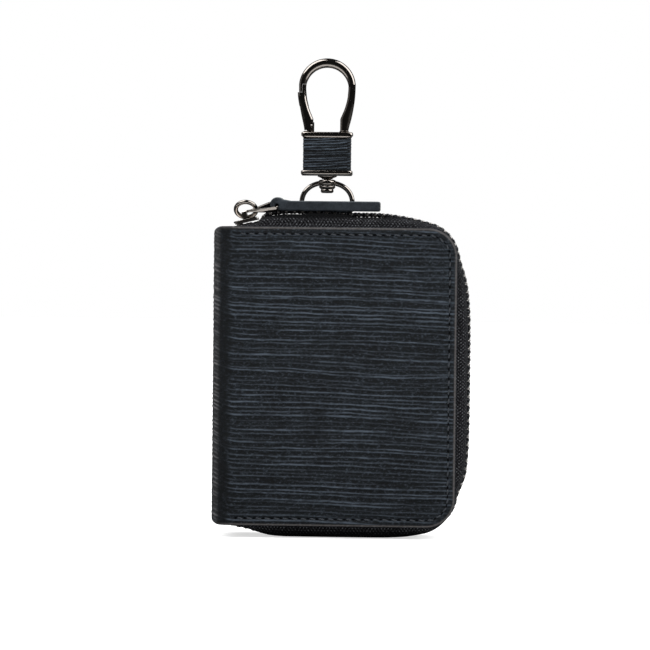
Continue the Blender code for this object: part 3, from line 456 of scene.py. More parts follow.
def liningCloth():
    f = finish("liningCloth")
    place = f.place()
    x, y, z = f.axes(place)
    slant = f.wave(f.plus(x, z), 0.7)
    weave = f.plus(f.plus(f.times(slant, 0.3), f.times(f.wave(z, 0.35), 0.15)), 0.5)
    fuzz = f.noise(place, 1.4, 3.0, 0.7)
    shade = f.plus(f.times(weave, 0.5), f.times(f.minus(fuzz, 0.3), 0.8), True)
    colour = f.mix(shade, (0.012, 0.013, 0.016), (0.045, 0.048, 0.055))
    normal = f.bump(fuzz, 0.05, 0.5, f.bump(weave, 0.08, 0.8))
    return f.surface(colour, f.spread(fuzz, 0.2, 0.8, 0.72, 0.9), normal)


def boardFinish():
    f = finish("pressedBoard")
    pulp = f.noise(f.place(), 1.2, 5.0, 0.7)
    colour = f.mix(pulp, (0.06, 0.05, 0.04), (0.16, 0.14, 0.11))
    return f.surface(colour, f.spread(pulp, 0.2, 0.8, 0.8, 0.95), f.bump(pulp, 0.08, 0.6))


def punchedHole():
    f = finish("punchedHole")
    holeShadeNoise = f.noise(f.place(), 3.0, 2.0, 0.6)
    # painted shade: near-black inside the stitch holes
    colour = f.mix(holeShadeNoise, (0.0008, 0.0010, 0.0014), (0.004, 0.005, 0.006))
    rough = f.spread(holeShadeNoise, 0.2, 0.8, 0.85, 0.97)
    return f.surface(colour, rough, f.bump(holeShadeNoise, 0.03, 0.5), shine=0.05)


ridged = ridgedLeather()
smooth = smoothLeather()
holeShade = punchedHole()
tapeCloth = wovenTape()
nickel = metalFinish("blackNickel", (0.24, 0.22, 0.20), (0.34, 0.31, 0.285), (0.05, 0.13))
chrome = metalFinish("sliderNickel", (0.50, 0.46, 0.43), (0.66, 0.62, 0.58), (0.10, 0.22))
teethMetal = metalFinish("teethMetal", (0.34, 0.33, 0.32), (0.62, 0.60, 0.58), (0.14, 0.30), 0.01)
springSteel = metalFinish("springSteel", (0.30, 0.30, 0.31), (0.50, 0.50, 0.51), (0.22, 0.36), 0.008)
thread = threadFinish()
lining = liningCloth()
board = boardFinish()
print("finishes made")

# Leather: front and back covers, each with its half of the spine

ridgeSize = {
    "pitch": 1.42,
    "jitter": 0.27,
    "width": 0.31,
    "height": 0.26,
    "wander": 0.42,
    "slope": 0.022,
    "wrapRise": 2.3,
    "wrapStart": (72, 11),
    "rim": 2.4,
    "groove": 0.24,
    "grooveWidth": 0.42,
    "puff": 0.12,
    "edge": 0.62,
    "fold": (-35.4, 1.5),
    "foldDeep": 0.22,
    "paintedShadeBand": (-38.5, 2.1),
    "cutEdge": (0.40, 0.26),
    "spineTone": (-39.6, -43.8),
    "lowShade": (66, 26),
}


def leatherRidges(along, height):
    size = ridgeSize
    rng = np.random.default_rng(23)
    waves = [
        [rng.uniform(*ends) for ends in ((0.5, 1.5), (50, 130), (30, 75), (0, tau), (0, tau))]
        for _ in range(6)
    ]
    starts = np.arange(height.min() - 8, height.max() + 4, size["pitch"])
    starts = starts + rng.uniform(-size["jitter"], size["jitter"], len(starts)) * size["pitch"]
    total = np.zeros_like(along)
    flat = np.linspace(along.min() - 2, along.max() + 2, 320)
    lean = size["slope"] * flat + size["wrapRise"] * ramp(flat, *size["wrapStart"])
    for start in starts:
        line = start + lean
        for strength, longWave, tallWave, phaseA, phaseB in waves:
            drift = 1.6 * np.sin(tau * start / tallWave + phaseB)
            line = line + size["wander"] * 0.42 * strength * np.sin(tau * flat / longWave + phaseA + drift)
        for _ in range(3):
            wobble = rng.uniform(0.02, 0.08)
            line = line + wobble * np.sin(tau * flat / rng.uniform(6, 26) + rng.uniform(0, tau))
        power = np.full_like(flat, rng.uniform(0.50, 1.0))
        for _ in range(3):
            fade = rng.uniform(0.0, 0.42)
            slow = np.sin(tau * flat / rng.uniform(14, 70) + rng.uniform(0, tau))
            power = power * (1 - fade * (0.5 + 0.5 * slow) ** 2)
        width = size["width"] * rng.uniform(0.8, 1.25)
        middle = np.interp(along, flat, line)
        total = np.maximum(total, np.interp(along, flat, power) * hump(height, middle, width))
    fine = 0.12 * np.sin(tau * height / 0.61 + 2.2 * np.sin(along / 7.0) + 1.3 * np.sin(height / 5.0))
    return np.clip(total + fine * (1 - total), 0, 1)


def edgeSteps(step, total, both=True):  # close together at the rim, then even
    near = [0, 0.04, 0.12, 0.22, 0.35, 0.5, 0.62, 0.8, 1.0, 1.3, 1.6, 1.85]
    near += [2.1, 2.3, 2.5, 2.65, 2.75, 2.85, 3.0, 3.2, 3.4, 3.7, 4.0]
    inner = total - (8.0 if both else 4.0)
    count = int(round(inner / step))
    middle = list(4.0 + inner * np.arange(1, count + (0 if both else 1)) / count)
    return np.array(near + middle + ([total - value for value in near[::-1]] if both else []))


def wrapFrame(distance):  # from the zip's side over the cover and round the spine
    size = caseSize
    straight = size["right"] - size["hinge"]
    radius = size["spineRound"]
    angle = np.clip((distance - straight) / radius, 0, math.pi / 2)
    spineRun = np.maximum(distance - straight - radius * math.pi / 2, 0)
    x = size["right"] - np.minimum(distance, straight) - radius * np.sin(angle)
    y = -size["half"] + radius * (1 - np.cos(angle)) + spineRun
    return x, y, -np.sin(angle), -np.cos(angle)


def edgeDistance(x, z):
    size = caseSize
    corner = size["corner"]
    outX = np.maximum(x - size["right"] + corner, 0)
    outZ = np.maximum(np.maximum(z - size["top"] + corner, size["bottom"] + corner - z), 0)
    straight = np.minimum(size["right"] - x, np.minimum(size["top"] - z, z - size["bottom"]))
    return np.where((outX > 0) & (outZ > 0), corner - np.hypot(outX, outZ), straight)


def roundOff(radius, inside):
    return radius - np.sqrt(np.maximum(radius ** 2 - np.maximum(inside, 0) ** 2, 0))


def leatherShell(name, side):
    size, look = caseSize, ridgeSize
    tall = size["top"] - size["bottom"]
    total = size["right"] - size["hinge"] + size["spineRound"] * math.pi / 2 + size["half"] - size["spineRound"]
    distance, part = np.meshgrid(
        edgeSteps(0.85, total, both=False), edgeSteps(0.24, tall) / tall, indexing="ij"
    )
    x, y, nx, ny = wrapFrame(distance)
    flatX = size["right"] - distance
    lift = roundOff(size["corner"], flatX - size["right"] + size["corner"])
    lift = lift + roundOff(size["endRound"], np.minimum(size["endRound"] - x + size["left"], size["endRound"]))
    z = size["bottom"] + lift + part * (tall - 2 * lift)
    fromEdge = np.maximum(edgeDistance(flatX, z), 0)
    along = distance if side < 0 else 2 * total - distance
    ridge = leatherRidges(along, z) * ramp(fromEdge, 0.25, 0.9)
    groove = hump(fromEdge, look["rim"], look["grooveWidth"]) * (flatX > -35)
    rounding = roundOff(look["edge"], look["edge"] - fromEdge) * (size["leather"] / 2) / look["edge"]
    puff = look["puff"] * ramp(fromEdge, 0.4, 0.9) * ease((look["rim"] + 0.1 - fromEdge) / 0.9)
    # the band by the hinge crease, where the ridges fade and shade is painted
    paintedShadeBand = hump(flatX, *look["paintedShadeBand"], 4)
    ridge = ridge * (1 - 0.6 * paintedShadeBand)
    outward = look["height"] * (ridge - 0.5) * ease(fromEdge / 0.8) * (1 - 0.75 * groove)
    outward += puff - look["groove"] * groove - rounding - look["foldDeep"] * hump(flatX, *look["fold"])
    sheets = [
        np.stack([x + nx * push, (y + ny * push) * -side, z], -1).reshape(-1, 3)
        for push in (outward, rounding - size["leather"])
    ]
    rows, cols = distance.shape
    count, last = rows * cols, (rows - 1) * cols
    faces = gridFaces(rows, cols) + gridFaces(rows, cols, count)
    faces += [(j, j + 1, count + j + 1, count + j) for j in range(last, last + cols - 1)]
    start, end = look["spineTone"]  # the spine's bend gets a painted highlight, its back does not
    spineShare = ease((start - flatX) / 1.6) * (1 - 0.95 * ease((end - flatX) / 3.0))
    # painted highlight along the cut edge, weaker on the spine
    rim = 0.8 * hump(fromEdge, *look["cutEdge"]) * (0.55 + 0.45 * (flatX > size["hinge"]))
    rim = rim + (0.17 + 0.95 * np.clip((ridge - 0.22) * 1.7, 0, 1)) * spineShare * ease(fromEdge / 1.2)
    # painted shade: darker at the hinge crease, in the stitch groove and towards the bottom
    paintedShadeBand = paintedShadeBand + 0.5 * groove + 0.13 * (1 - ramp(z, *look["lowShade"]))
    shades = {"ridge": ridge, "rim": rim, "paintedShadeBand": paintedShadeBand}
    shades = {word: np.concatenate([values.ravel(), np.zeros(count)]) for word, values in shades.items()}
    return addPiece(name, np.concatenate(sheets), faces, ridged, shades=shades)


stitchSize = {
    "pitch": 2.94,
    "length": 1.75,
    "radius": 0.24,
    "slant": 12,
    "start": -33.8,
    "sunk": 0.20,
    "holeLength": 0.46,
    "holeHeight": 0.34,
}


def stitchLine(inset, pitch, start):
    size = caseSize
    right, corner = size["right"] - inset, size["corner"] - inset
    top, bottom = size["top"] - inset, size["bottom"] + inset
    line = [(start, top)] + arc(right - corner, top - corner, corner, 90, 0, 16)
    line += arc(right - corner, bottom + corner, corner, 0, -90, 16) + [(start, bottom)]
    line = np.array(line)
    run = runAlong(line)
    count = int(run[-1] / pitch)
    spots = (np.arange(count) + 0.5) * run[-1] / count
    places = spotsOn(line, run, spots)
    return places, unit(spotsOn(line, run, spots + 0.4) - places)


def stitchRow(name, places, turns, depth, outward, material):
    look = stitchSize
    slant = math.radians(look["slant"])
    stacks = []
    for spot, (ax, az) in zip(places, turns):
        turn = ax * math.cos(slant) + az * math.sin(slant), az * math.cos(slant) - ax * math.sin(slant)
        rings = []
        for t in np.linspace(-1, 1, 9):
            size = look["radius"] * (1 - 0.35 * abs(t) ** 3)
            level = depth + outward * look["radius"] * (0.5 - 1.35 * abs(t) ** 2.4)
            rings.append([
                besideLine(spot, turn, t * look["length"] / 2, across, level + outward * out)
                for across, out in circle(size, 8)
            ])
        stacks.append(rings)
    return addStacks(name, stacks, material)


def holeRow(name, places, turns, depth, outward):
    look = stitchSize
    stacks = []
    for spot, turn in zip(places, turns):
        spot = spot + turn * look["pitch"] / 2
        stacks.append([
            [
                besideLine(spot, turn, look["holeLength"] * a, look["holeHeight"] * b, depth + outward * out)
                for a, b in circle(share, 10)
            ]
            for share, out in ((1.0, -0.10), (1.0, 0.02), (0.72, 0.05), (0.25, 0.0))
        ])
    return addStacks(name, stacks, holeShade)


places, turns = stitchLine(ridgeSize["rim"], stitchSize["pitch"], stitchSize["start"])
for word, side, body, nodesFor in (
    ("front", -1, "front_half", ("front_cover", "spine_cover")),
    ("back", 1, "back_half", ("back_cover",)),
):
    shell = leatherShell(word + "CoverLeather", side)
    dress(shell, "ridged_leather", None, *nodesFor)
    if side < 0:
        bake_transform(shell)
    else:
        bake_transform(shell)
    level = side * (caseSize["half"] - stitchSize["sunk"])
    dress(stitchRow(word + "CoverStitches", places, turns, level, side, thread), "woven_tape", body)
    dress(holeRow(word + "CoverHoles", places, turns, level, side), "ridged_leather", body)
print("covers done")

# Zip route, the same as the solids follow, and fuller near the slider

zipSize = {
    "tape": 0.6,
    "flange": 7.0,
    "exitInset": 0.4,
    "level": 9.0,
    "edge": 3.2,
    "power": 3.0,
    "sideBulge": 3.55,
    "topBulge": 4.1,
    "lowBulge": 2.9,
    "lowStart": -0.2,
    "rampEnd": -6.9,
    "sag": 1.2,
    "endRise": 2.5,
    "puff": 2.75,
    "strapPuff": 1.0,
    "swell": ((-28.4, 3.6), (-21.0, 15.0)),
    "strapFade": (-18.0, 24.0),
    "lowered": (((-27, 3), (-14, 4)), ((1, 3), (12, 4))),
    "shadows": ((104.1, 1.1), (12, 14), (-3.4, 1.6)),
    "tapeReach": 0.91,
    "tapeDip": 0.75,
    "sewnLevel": 11.0,
}
routeCounts = (22, 24, 22, 36, 22, 40)
routePlaces = [(part, i / count) for part, count in enumerate(routeCounts) for i in range(min(part, 1), count + 1)]
bulgeShares = {
    "top": ((0.0, 1.0), (0.35, 1.0), (0.556, 0.97), (0.742, 0.78), (0.886, 0.53), (1.0, 0.27)),
    "upperCorner": ((0.0, 0.27), (0.16, 0.14), (0.36, 0.0), (0.6, -0.09), (0.8, -0.11), (1.0, -0.04)),
    "side": (
        (0.0, -0.05), (0.03, 0.14), (0.08, 0.5), (0.145, 0.78), (0.27, 0.98),
        (0.5, 1.0), (0.76, 0.97), (0.9, 0.76), (0.947, 0.42), (1.0, -0.05),
    ),
    "lowerCorner": ((0.0, -0.06), (0.3, -0.14), (0.6, -0.12), (0.85, 0.1), (1.0, 0.35)),
    "bottom": ((0.0, 0.35), (0.05, 0.62), (0.12, 0.87), (0.25, 1.0), (1.0, 1.0)),
}


def edgeAt(section, share, inset):  # the place, and which way is out
    size = caseSize
    right, top, bottom = size["right"] - inset, size["top"] - inset, size["bottom"] + inset
    corner = size["corner"] - inset
    turnX, rampEnd = right - corner, zipSize["rampEnd"]
    if section in (2, 4):
        angle = math.pi / 2 * (1 - share if section == 2 else -share)
        middle = top - corner if section == 2 else bottom + corner
        outX, outZ = math.cos(angle), math.sin(angle)
        return turnX + corner * outX, middle + corner * outZ, outX, outZ
    if section == 3:
        return right, top - corner - (top - bottom - 2 * corner) * share, 1, 0
    start, end = {0: (size["seam"], rampEnd), 1: (rampEnd, turnX), 5: (turnX, size["seam"])}[section]
    x = start + (end - start) * share
    return (x, bottom, 0, -1) if section == 5 else (x, top, 0, 1)


def follow(word, share):  # a smooth curve through the table
    table = bulgeShares[word]
    last = len(table) - 1
    i = 0
    while i < last - 1 and table[i + 1][0] < share:
        i += 1
    (x0, y0), (x1, y1) = table[i], table[i + 1]
    before, after = table[max(i - 1, 0)], table[min(i + 2, last)]
    run = x1 - x0
    slope0 = (y1 - before[1]) / (x1 - before[0])
    slope1 = (after[1] - y0) / (after[0] - x0)
    t = (share - x0) / run
    start = (2 * t ** 3 - 3 * t ** 2 + 1) * y0 + (t ** 3 - 2 * t ** 2 + t) * run * slope0
    return start + (3 * t ** 2 - 2 * t ** 3) * y1 + (t ** 3 - t ** 2) * run * slope1


def fullness(x):
    size = zipSize
    start, settle = (ramp(x, *span) for span in size["swell"])
    strap = size["strapPuff"] * settle * (1 - ramp(x, *size["strapFade"]))
    return float(size["puff"] * start * (1 - settle) + strap)


def chainAt(section, share):
    size = zipSize
    x, z, outX, outZ = edgeAt(section, share, 0)
    if section == 0:
        slope = (size["topBulge"] - size["lowStart"]) / (size["rampEnd"] - caseSize["seam"])
        out = size["lowStart"] + (x - caseSize["seam"]) * slope + fullness(x)
    elif section == 1:
        out = size["topBulge"] * follow("top", share) + fullness(x)
    elif section == 2:
        out = size["topBulge"] * follow("upperCorner", share)
    elif section == 3:
        out = size["sideBulge"] * follow("side", share)
    elif section == 4:
        out = size["lowBulge"] * follow("lowerCorner", share)
    else:
        out = size["lowBulge"] * follow("bottom", share) - size["endRise"] * float(ramp(share, 0.78, 0.22))
    return x + outX * out, z + outZ * out


def sagAt(section, share):
    if section < 4:
        return 0
    return zipSize["sag"] * float(ease(share) if section == 4 else 1 - ramp(share, 0.7, 0.3))


def tapeDip(x, section):  # the teeth stand clear beside the strap
    near = sum(ramp(x, *rise) * (1 - ramp(x, *fall)) for rise, fall in zipSize["lowered"])
    return zipSize["tapeDip"] * float(near) if section < 2 else 0


def tapeRow(level, inset, out):
    row = []
    for section, share in routePlaces:
        x, z = edgeAt(section, share, inset)[:2]
        if out > 0:
            chainX, chainZ = chainAt(section, share)
            if level > zipSize["edge"] + 0.01:
                chainZ -= sagAt(section, share)
            x += (chainX - x) * out
            z += (chainZ - z) * out - tapeDip(x, section) * out ** 2
            if section >= 4:
                z = max(z, zipSize["tape"] / 2)
        row.append((x, level, z))
    return row


def tapeRows():
    size = zipSize
    sewn, level, exitInset = size["sewnLevel"], size["level"], size["exitInset"]
    flat = (
        (sewn, size["flange"]), (sewn, 1.2), (sewn - 0.14, 0.63), (sewn - 0.35, 0.46),
        (sewn - 0.7, exitInset), (level + 0.6, exitInset), (level, exitInset),
    )
    rows = [tapeRow(height, inset, 0) for height, inset in flat]
    for share in (0.97, 0.93, 0.86, 0.78, 0.69, 0.58, 0.47, 0.35, 0.24, 0.12, 0.05, 0.0):
        bulge = size["tapeReach"] * (1 - share ** size["power"]) ** (1 / size["power"])
        rows.append(tapeRow(size["edge"] + (level - size["edge"]) * share, exitInset, bulge))
    return rows


def zipTape(name, side, leftOut):
    grid = np.array(tapeRows()) * (1, side, 1)
    rows, cols = grid.shape[:2]
    points = grid.reshape(-1, 3)
    uv = np.stack([np.tile(runAlong(grid[8]), rows), np.repeat(runAlong(grid[:, cols // 2]), cols)], 1)
    faces = [face for face in gridFaces(rows, cols) if not leftOut(*points[list(face)].mean(0))]
    x, z = points[:, 0], points[:, 2]
    high, left, low = zipSize["shadows"]
    # painted shadow: darker near the chain under the strap, and along the bottom
    wornEdgeAndPaintedShadow = 0.96 * ramp(z, *high) * (1 - ramp(x, *left)) + 0.72 * ramp(-z, *low)
    piece = addPiece(name, points, faces, tapeCloth, shades={"paintedShadeBand": np.clip(wornEdgeAndPaintedShadow, 0, 1)}, uv=uv)
    skin = piece.modifiers.new("thickness", "SOLIDIFY")
    skin.thickness = (zipSize["tape"] - 0.04) * mm
    skin.offset = 0
    bakeModifiers(piece)
    piece.data.shade_smooth()
    return piece


hookX = -6.05
crownX = hookX - 0.28
frontTape = zipTape("frontTapeWoven", -1, lambda x, y, z: x < -27.4 and abs(y) < 3.1)
backTape = zipTape("backTapeWoven", 1, lambda x, y, z: abs(x - hookX) < 7.1 and y > 10.3 and z > 95.4)
dress(frontTape, "woven_tape", "front_half", "front_zip_tape")
dress(backTape, "woven_tape", "back_half", "back_zip_tape")
print("tapes done")

# Zip chain: real teeth on a beaded cord

toothSize = {
    "pitch": 2.65,
    "length": 1.0,
    "height": 1.6,
    "stop": 1.6,
    "cord": 0.66,
    "cordOffset": 2.1,
    "parted": -31.5,
    "start": -35.0,
    "end": -34.55,
}
toothShape = (  # across the zip, share of the length, share of the height
    (2.95, 0.55, 0.62), (2.85, 0.82, 0.86), (2.6, 1.0, 1.0), (1.5, 1.0, 1.0),
    (1.15, 0.86, 0.86), (0.7, 0.74, 0.74), (0.2, 0.74, 0.74), (-0.15, 0.9, 0.80),
    (-0.5, 1.0, 0.86), (-0.75, 0.86, 0.74), (-0.88, 0.55, 0.48),
)


def chainLine():
    line = []
    for section, first in enumerate((toothSize["start"], -50, -50, -50, -50, toothSize["end"])):
        line += [spot for spot in (chainAt(section, i / 90) for i in range(90)) if spot[0] >= first]
    return np.array(line)


chain = chainLine()
chainRun = runAlong(chain)


def toothAt(distance, side, length, tip):
    spot = spotsOn(chain, chainRun, distance)
    turn = unit(spotsOn(chain, chainRun, distance + 0.3) - spotsOn(chain, chainRun, distance - 0.3))
    section = roundedRect(0.5, 0.5, 0.2, 2)
    return [
        [
            besideLine(spot, turn, a * length * wide, b * toothSize["height"] * tall, side * across)
            for a, b in section
        ]
        for across, wide, tall in toothShape if across > tip
    ]


def chainTeeth(name, side):
    size, total, stacks = toothSize, chainRun[-1], []
    pitch, stop = size["pitch"], size["stop"]
    distance = stop + pitch / 2 + (pitch / 2 if side < 0 else 0)
    while distance < total - stop - pitch / 2:
        parted = spotsOn(chain, chainRun, distance)[0] < size["parted"] and distance < total / 2
        stacks.append(toothAt(distance, side, size["length"], 1.1 if parted else -2))  # round the divider
        distance += pitch
    stacks += [toothAt(distance, side, stop, 0.1) for distance in (stop / 2, total - stop / 2)]
    return addStacks(name, stacks, teethMetal)


def chainCord(name, side):
    spots = spotsOn(chain, chainRun, np.linspace(0, chainRun[-1], 260))
    path = [(x, side * toothSize["cordOffset"], z) for x, z in spots]
    twist = [circle(toothSize["cord"] * (1 + 0.05 * math.sin(i * 1.9)), 10) for i in range(len(path))]
    return sweep(name, path, twist, (0, 1, 0), tapeCloth, uv=True)


for word, side in (("front", -1), ("back", 1)):
    dress(chainTeeth(word + "ZipTeeth", side), "zip_teeth", word + "_half", word + "_zip_chain")
    dress(chainCord(word + "ZipCord", side), "woven_tape", word + "_half")
print("zip done")

# Slider with its edges rounded, then pull ring, clip and strap

sliderSize = {"nose": (-35.9, 0, 100.9), "lean": -5, "edge": 0.36}
pullSize = {
    "ring": (-32.142, -2.2416, 107.4937),
    "ringRadius": 3.35,
    "ringWire": 0.74,
    "lean": 42,
    "clip": (-28.792, -2.2416, 107.4937),
    "clipBack": -2.7,
    "clipTwist": 0.95,
    "clipTilt": 20,
    "strap": (-21.9, 0.0, 108.9),
    "strapHalfWidth": 4.3,
    "strapEnd": 33.9,
    "strapPly": 1.66,
    "strapEye": 0.70,
    "strapHole": 0.64,
}


def wornSlider():
    node = bpy.data.objects["slider_body"]
    mesh = node.data.copy()
    nose = Vector(sliderSize["nose"]) * mm
    lean = Matrix.Rotation(math.radians(sliderSize["lean"]), 4, "Y")
    mesh.transform(Matrix.Translation(nose) @ lean @ Matrix.Translation(-nose) @ node.matrix_world)
    tidyMesh(mesh, chrome)
    piece = putIn("sliderBodyMetal", mesh)
    bevel = piece.modifiers.new("wornEdgeAndPaintedShadow", "BEVEL")
    bevel.width = sliderSize["edge"] * mm
    bevel.segments = 3
    bevel.limit_method = "ANGLE"
    bevel.angle_limit = math.radians(40)
    bakeModifiers(piece)
    return shadeByAngle(piece, 50)


def pullRing():
    size = pullSize
    lean = math.radians(size["lean"])
    right, up = np.array([1, 0, 0]), np.array([0, -math.sin(lean), math.cos(lean)])
    path = [size["ring"] + a * right + b * up for a, b in circle(size["ringRadius"], 64)]
    return sweep("pullRingMetal", path, circle(size["ringWire"], 20), np.cross(right, up), nickel, closed=True)


def roundCorners(corners, radius, steps=6):
    points = []
    corners = np.array(corners, float)
    for i, here in enumerate(corners):
        before, after = unit(corners[i - 1] - here), unit(corners[(i + 1) % len(corners)] - here)
        reach = radius / math.tan(math.acos(float(np.clip(before @ after, -1, 1))) / 2)
        start, end = here + before * reach, here + after * reach
        for t in np.linspace(0, 1, steps + 1):
            points.append((1 - t) ** 2 * start + 2 * t * (1 - t) * here + t * t * end)
    return points


def pullClip():
    size = pullSize
    pivot, bar = np.array(size["clip"]), np.array(size["strap"])
    forward = bar - pivot
    shift, forward[1] = forward[1], 0
    length = np.linalg.norm(forward)
    forward /= length
    up = np.cross(forward, [0, 1, 0])
    back, shoulder, half = size["clipBack"], length - 2.7, size["strapHalfWidth"] + 0.9
    corners = [
        (back, -2.2), (shoulder, shift - half), (length, shift - half),
        (length, shift + half), (shoulder, shift + half), (back, 2.2),
    ]
    path, sections = [], []
    for x, y in roundCorners(corners, 0.85):
        share = float(ease((x - back) / (shoulder - back)))
        twist = size["clipTwist"] * share * (y - shift) / half
        path.append(pivot + forward * x + np.array([0, y, 0]) + up * twist)
        onBar = x > length - 0.7 and abs(y - shift) < half - 0.9
        wide = 0.58 if onBar else 0.42 + 0.42 * share
        tilt = math.radians(size["clipTilt"]) * (1 if y < shift else -1) * share
        c, s = math.cos(tilt), math.sin(tilt)
        sections.append([(a * c - b * s, a * s + b * c) for a, b in roundedRect(wide, 0.42, 0.16, 3)])
    return sweep("pullClipMetal", path, sections, up, nickel, closed=True)


def flatShape(name, outlines, halfWidth, rounding, place, material):
    curve = bpy.data.curves.new(name, "CURVE")
    curve.dimensions = "2D"
    curve.fill_mode = "BOTH"
    curve.extrude = (halfWidth - rounding) * mm
    curve.bevel_depth = rounding * mm
    curve.bevel_resolution = 3
    curve.offset = -rounding * mm
    for outline in outlines:
        spline = curve.splines.new("POLY")
        spline.points.add(len(outline) - 1)
        for point, (x, z) in zip(spline.points, outline):
            point.co = (x * mm, z * mm, 0, 1)
        spline.use_cyclic_u = True
    drawn = putIn(name + "Drawn", curve)
    graph = bpy.context.evaluated_depsgraph_get()
    mesh = bpy.data.meshes.new_from_object(drawn.evaluated_get(graph))
    bpy.data.objects.remove(drawn)
    mesh.transform(Matrix.Translation(Vector(place) * mm) @ Matrix.Rotation(math.pi / 2, 4, "X"))
    tidyMesh(mesh, material)
    return shadeByAngle(putIn(name, mesh), 40)


def pullStrap():  # folded round the clip's bar, seen as one closed outline
    size = pullSize
    ply, end, edge = size["strapPly"], size["strapEnd"], 0.7
    outline = arc(0.15, 0.42, size["strapEye"] + ply, 44, 232, 30)
    first, last = outline[0], outline[-1]
    outline += [
        (last[0] + 3.4 * k / 12, last[1] + (-ply - last[1]) * float(ease(k / 12))) for k in range(1, 13)
    ]
    outline += [(x, -ply) for x in np.linspace(3.0, end - edge, 30)]
    outline += arc(end - edge, edge - ply, edge, -90, 0, 5)[1:] + arc(end - edge, ply - edge, edge, 0, 90, 5)
    outline += [(x, ply) for x in np.linspace(end - edge - 0.5, 5.6, 30)]
    outline += [
        (5.2 + (first[0] - 5.2) * k / 12, ply + (first[1] - ply) * float(ease(k / 12)) ** 1.25)
        for k in range(1, 12)
    ]
    hole = arc(0.02, 0.0, size["strapHole"], 0, 360, 24)[:-1]
    return flatShape("pullStrapLeather", (outline, hole), size["strapHalfWidth"], 0.42, size["strap"], smooth)


dress(wornSlider(), "gun_metal", "slider", "slider_body")
dress(pullRing(), "gun_metal", "ring", "pull_ring")
dress(pullClip(), "gun_metal", "clip", "pull_clip")
dress(pullStrap(), "smooth_leather", "strap", "pull_strap")
print("pull done")

# Hanger tab and D-ring

hangSize = {
    "y": 9.55,
    "z": 107.5,
    "wire": 0.82,
    "half": 8.4,
    "leg": 2.4,
    "arch": 6.85,
    "eye": 2.85,
    "tall": 1.95,
    "bore": 1.5,
    "square": 0.90,
    "tabPly": 0.38,
    "tabHalf": 6.75,
}


def hangerTab():
    size = hangSize
    line = [(11.0, z) for z in np.linspace(96.1, 106.7, 16)]
    line += arc(size["y"], size["z"], size["wire"] + 0.34 + size["tabPly"], -8, 305, 34)
    section = roundedRect(size["tabHalf"], size["tabPly"], 0.3, 4)
    path = [(hookX, y, z) for y, z in line]
    return sweep("hangerTabLeather", path, section, (1, 0, 0), smooth, capRound=0.2)


def dRing():
    size = hangSize
    half, square = size["half"], size["square"]
    route = [(-half, 0.9), (-half, 1.6)] + [
        (half * squared(math.cos(a), square), size["leg"] + size["arch"] * math.sin(a) ** square)
        for a in np.linspace(math.pi, 0, 41)
    ]
    route += [(half, 1.6), (half, 0.9), (half - 0.26, 0.26), (half - 0.9, 0)]
    route += [(x, 0) for x in np.linspace(half - 1.6, 1.6 - half, 12)] + [(0.9 - half, 0), (0.26 - half, 0.26)]
    path = [(hookX + x, size["y"], size["z"] + up) for x, up in route]
    made = sweep("dRingMetal", path, circle(size["wire"], 20), (0, 1, 0), nickel, closed=True)
    centre = (hookX, size["y"], size["z"] + size["leg"] + size["arch"])
    bore, eye, tall = size["bore"], size["eye"], size["tall"] / 2
    upper = [(bore, 0.2), (bore + 0.2, 0), (eye - 0.45, 0), (eye - 0.12, 0.22), (eye, 0.55)]
    profile = [(radius, tall - drop) for radius, drop in upper]
    profile += [(radius, -height) for radius, height in profile[::-1]]
    collar = turned("eye", profile + [profile[0]], centre, nickel)
    drill = turned("drill", [(0, 3), (bore + 0.02, 3), (bore + 0.02, -3), (0, -3)], centre, nickel)
    for piece, operation in ((drill, "DIFFERENCE"), (collar, "UNION")):
        tidyMesh(piece.data)
        combine(made, piece, operation)
    return shadeByAngle(made, 42)


dress(hangerTab(), "smooth_leather", "back_half", "hanger_tab")
dress(dRing(), "gun_metal", "d_ring", "d_ring")
print("hanger done")

# Swivel, spool, crown and gate

hookSize = {
    "y": 9.55,
    "spool": 119.0,
    "lowerFlange": 1.8,
    "wrap": 10.6,
    "upperFlange": 2.1,
    "flangeHalf": 8.6,
    "flangeDepth": 3.45,
    "wrapHalf": 7.95,
    "wrapDepth": 3.2,
    "crownHalf": 9.47,
    "innerHalf": 7.05,
    "plateSquare": 7.0,
    "wireSquare": 0.82,
    "rise": 15.0,
    "drop": 0.75,
    "deep": 1.6,
    "lip": 13.2,
    "pin": (-11.4, 135.7),
}
base = hookSize["spool"] + hookSize["lowerFlange"] + hookSize["wrap"] + hookSize["upperFlange"]
spoolX = hookX - 0.12
legShares = (  # share of the rise, of the outer and of the inner half width
    (0.0, 0.74, 0.62), (0.12, 0.78, 0.62), (0.29, 0.86, 0.62),
    (0.52, 0.93, 0.83), (0.73, 0.98, 0.95), (1.0, 1.0, 1.0),
)


def swivelPost():
    top = hookSize["spool"]
    high = hangSize["z"] + hangSize["leg"] + hangSize["arch"] - hangSize["tall"] / 2 - 0.03
    low = high - 1.15
    centre = (hookX, hookSize["y"], 0)
    post = [
        (0.0, top + 0.6), (3.1, top + 0.6), (3.2, top - 0.02), (3.2, top - 0.22), (3.05, top - 0.36),
        (2.4, top - 0.62), (2.0, top - 0.78), (1.8, top - 0.92), (1.78, top - 1.14), (1.2, top - 1.16),
        (1.2, low - 0.02), (2.0, low - 0.02), (2.12, low - 0.12), (2.16, low - 0.75), (2.0, low - 1.1),
        (1.6, low - 1.32), (0.0, low - 1.36),
    ]
    washer = [
        (1.5, high), (2.4, high), (2.66, high - 0.14), (2.74, high - 0.36), (2.70, low + 0.55),
        (2.42, low + 0.22), (2.2, low), (1.5, low), (1.5, high),
    ]
    post = turned("swivelPostMetal", post, centre, nickel)
    washer = turned("swivelWasherMetal", washer, centre, nickel)
    tidyMesh(washer.data)
    return post, washer


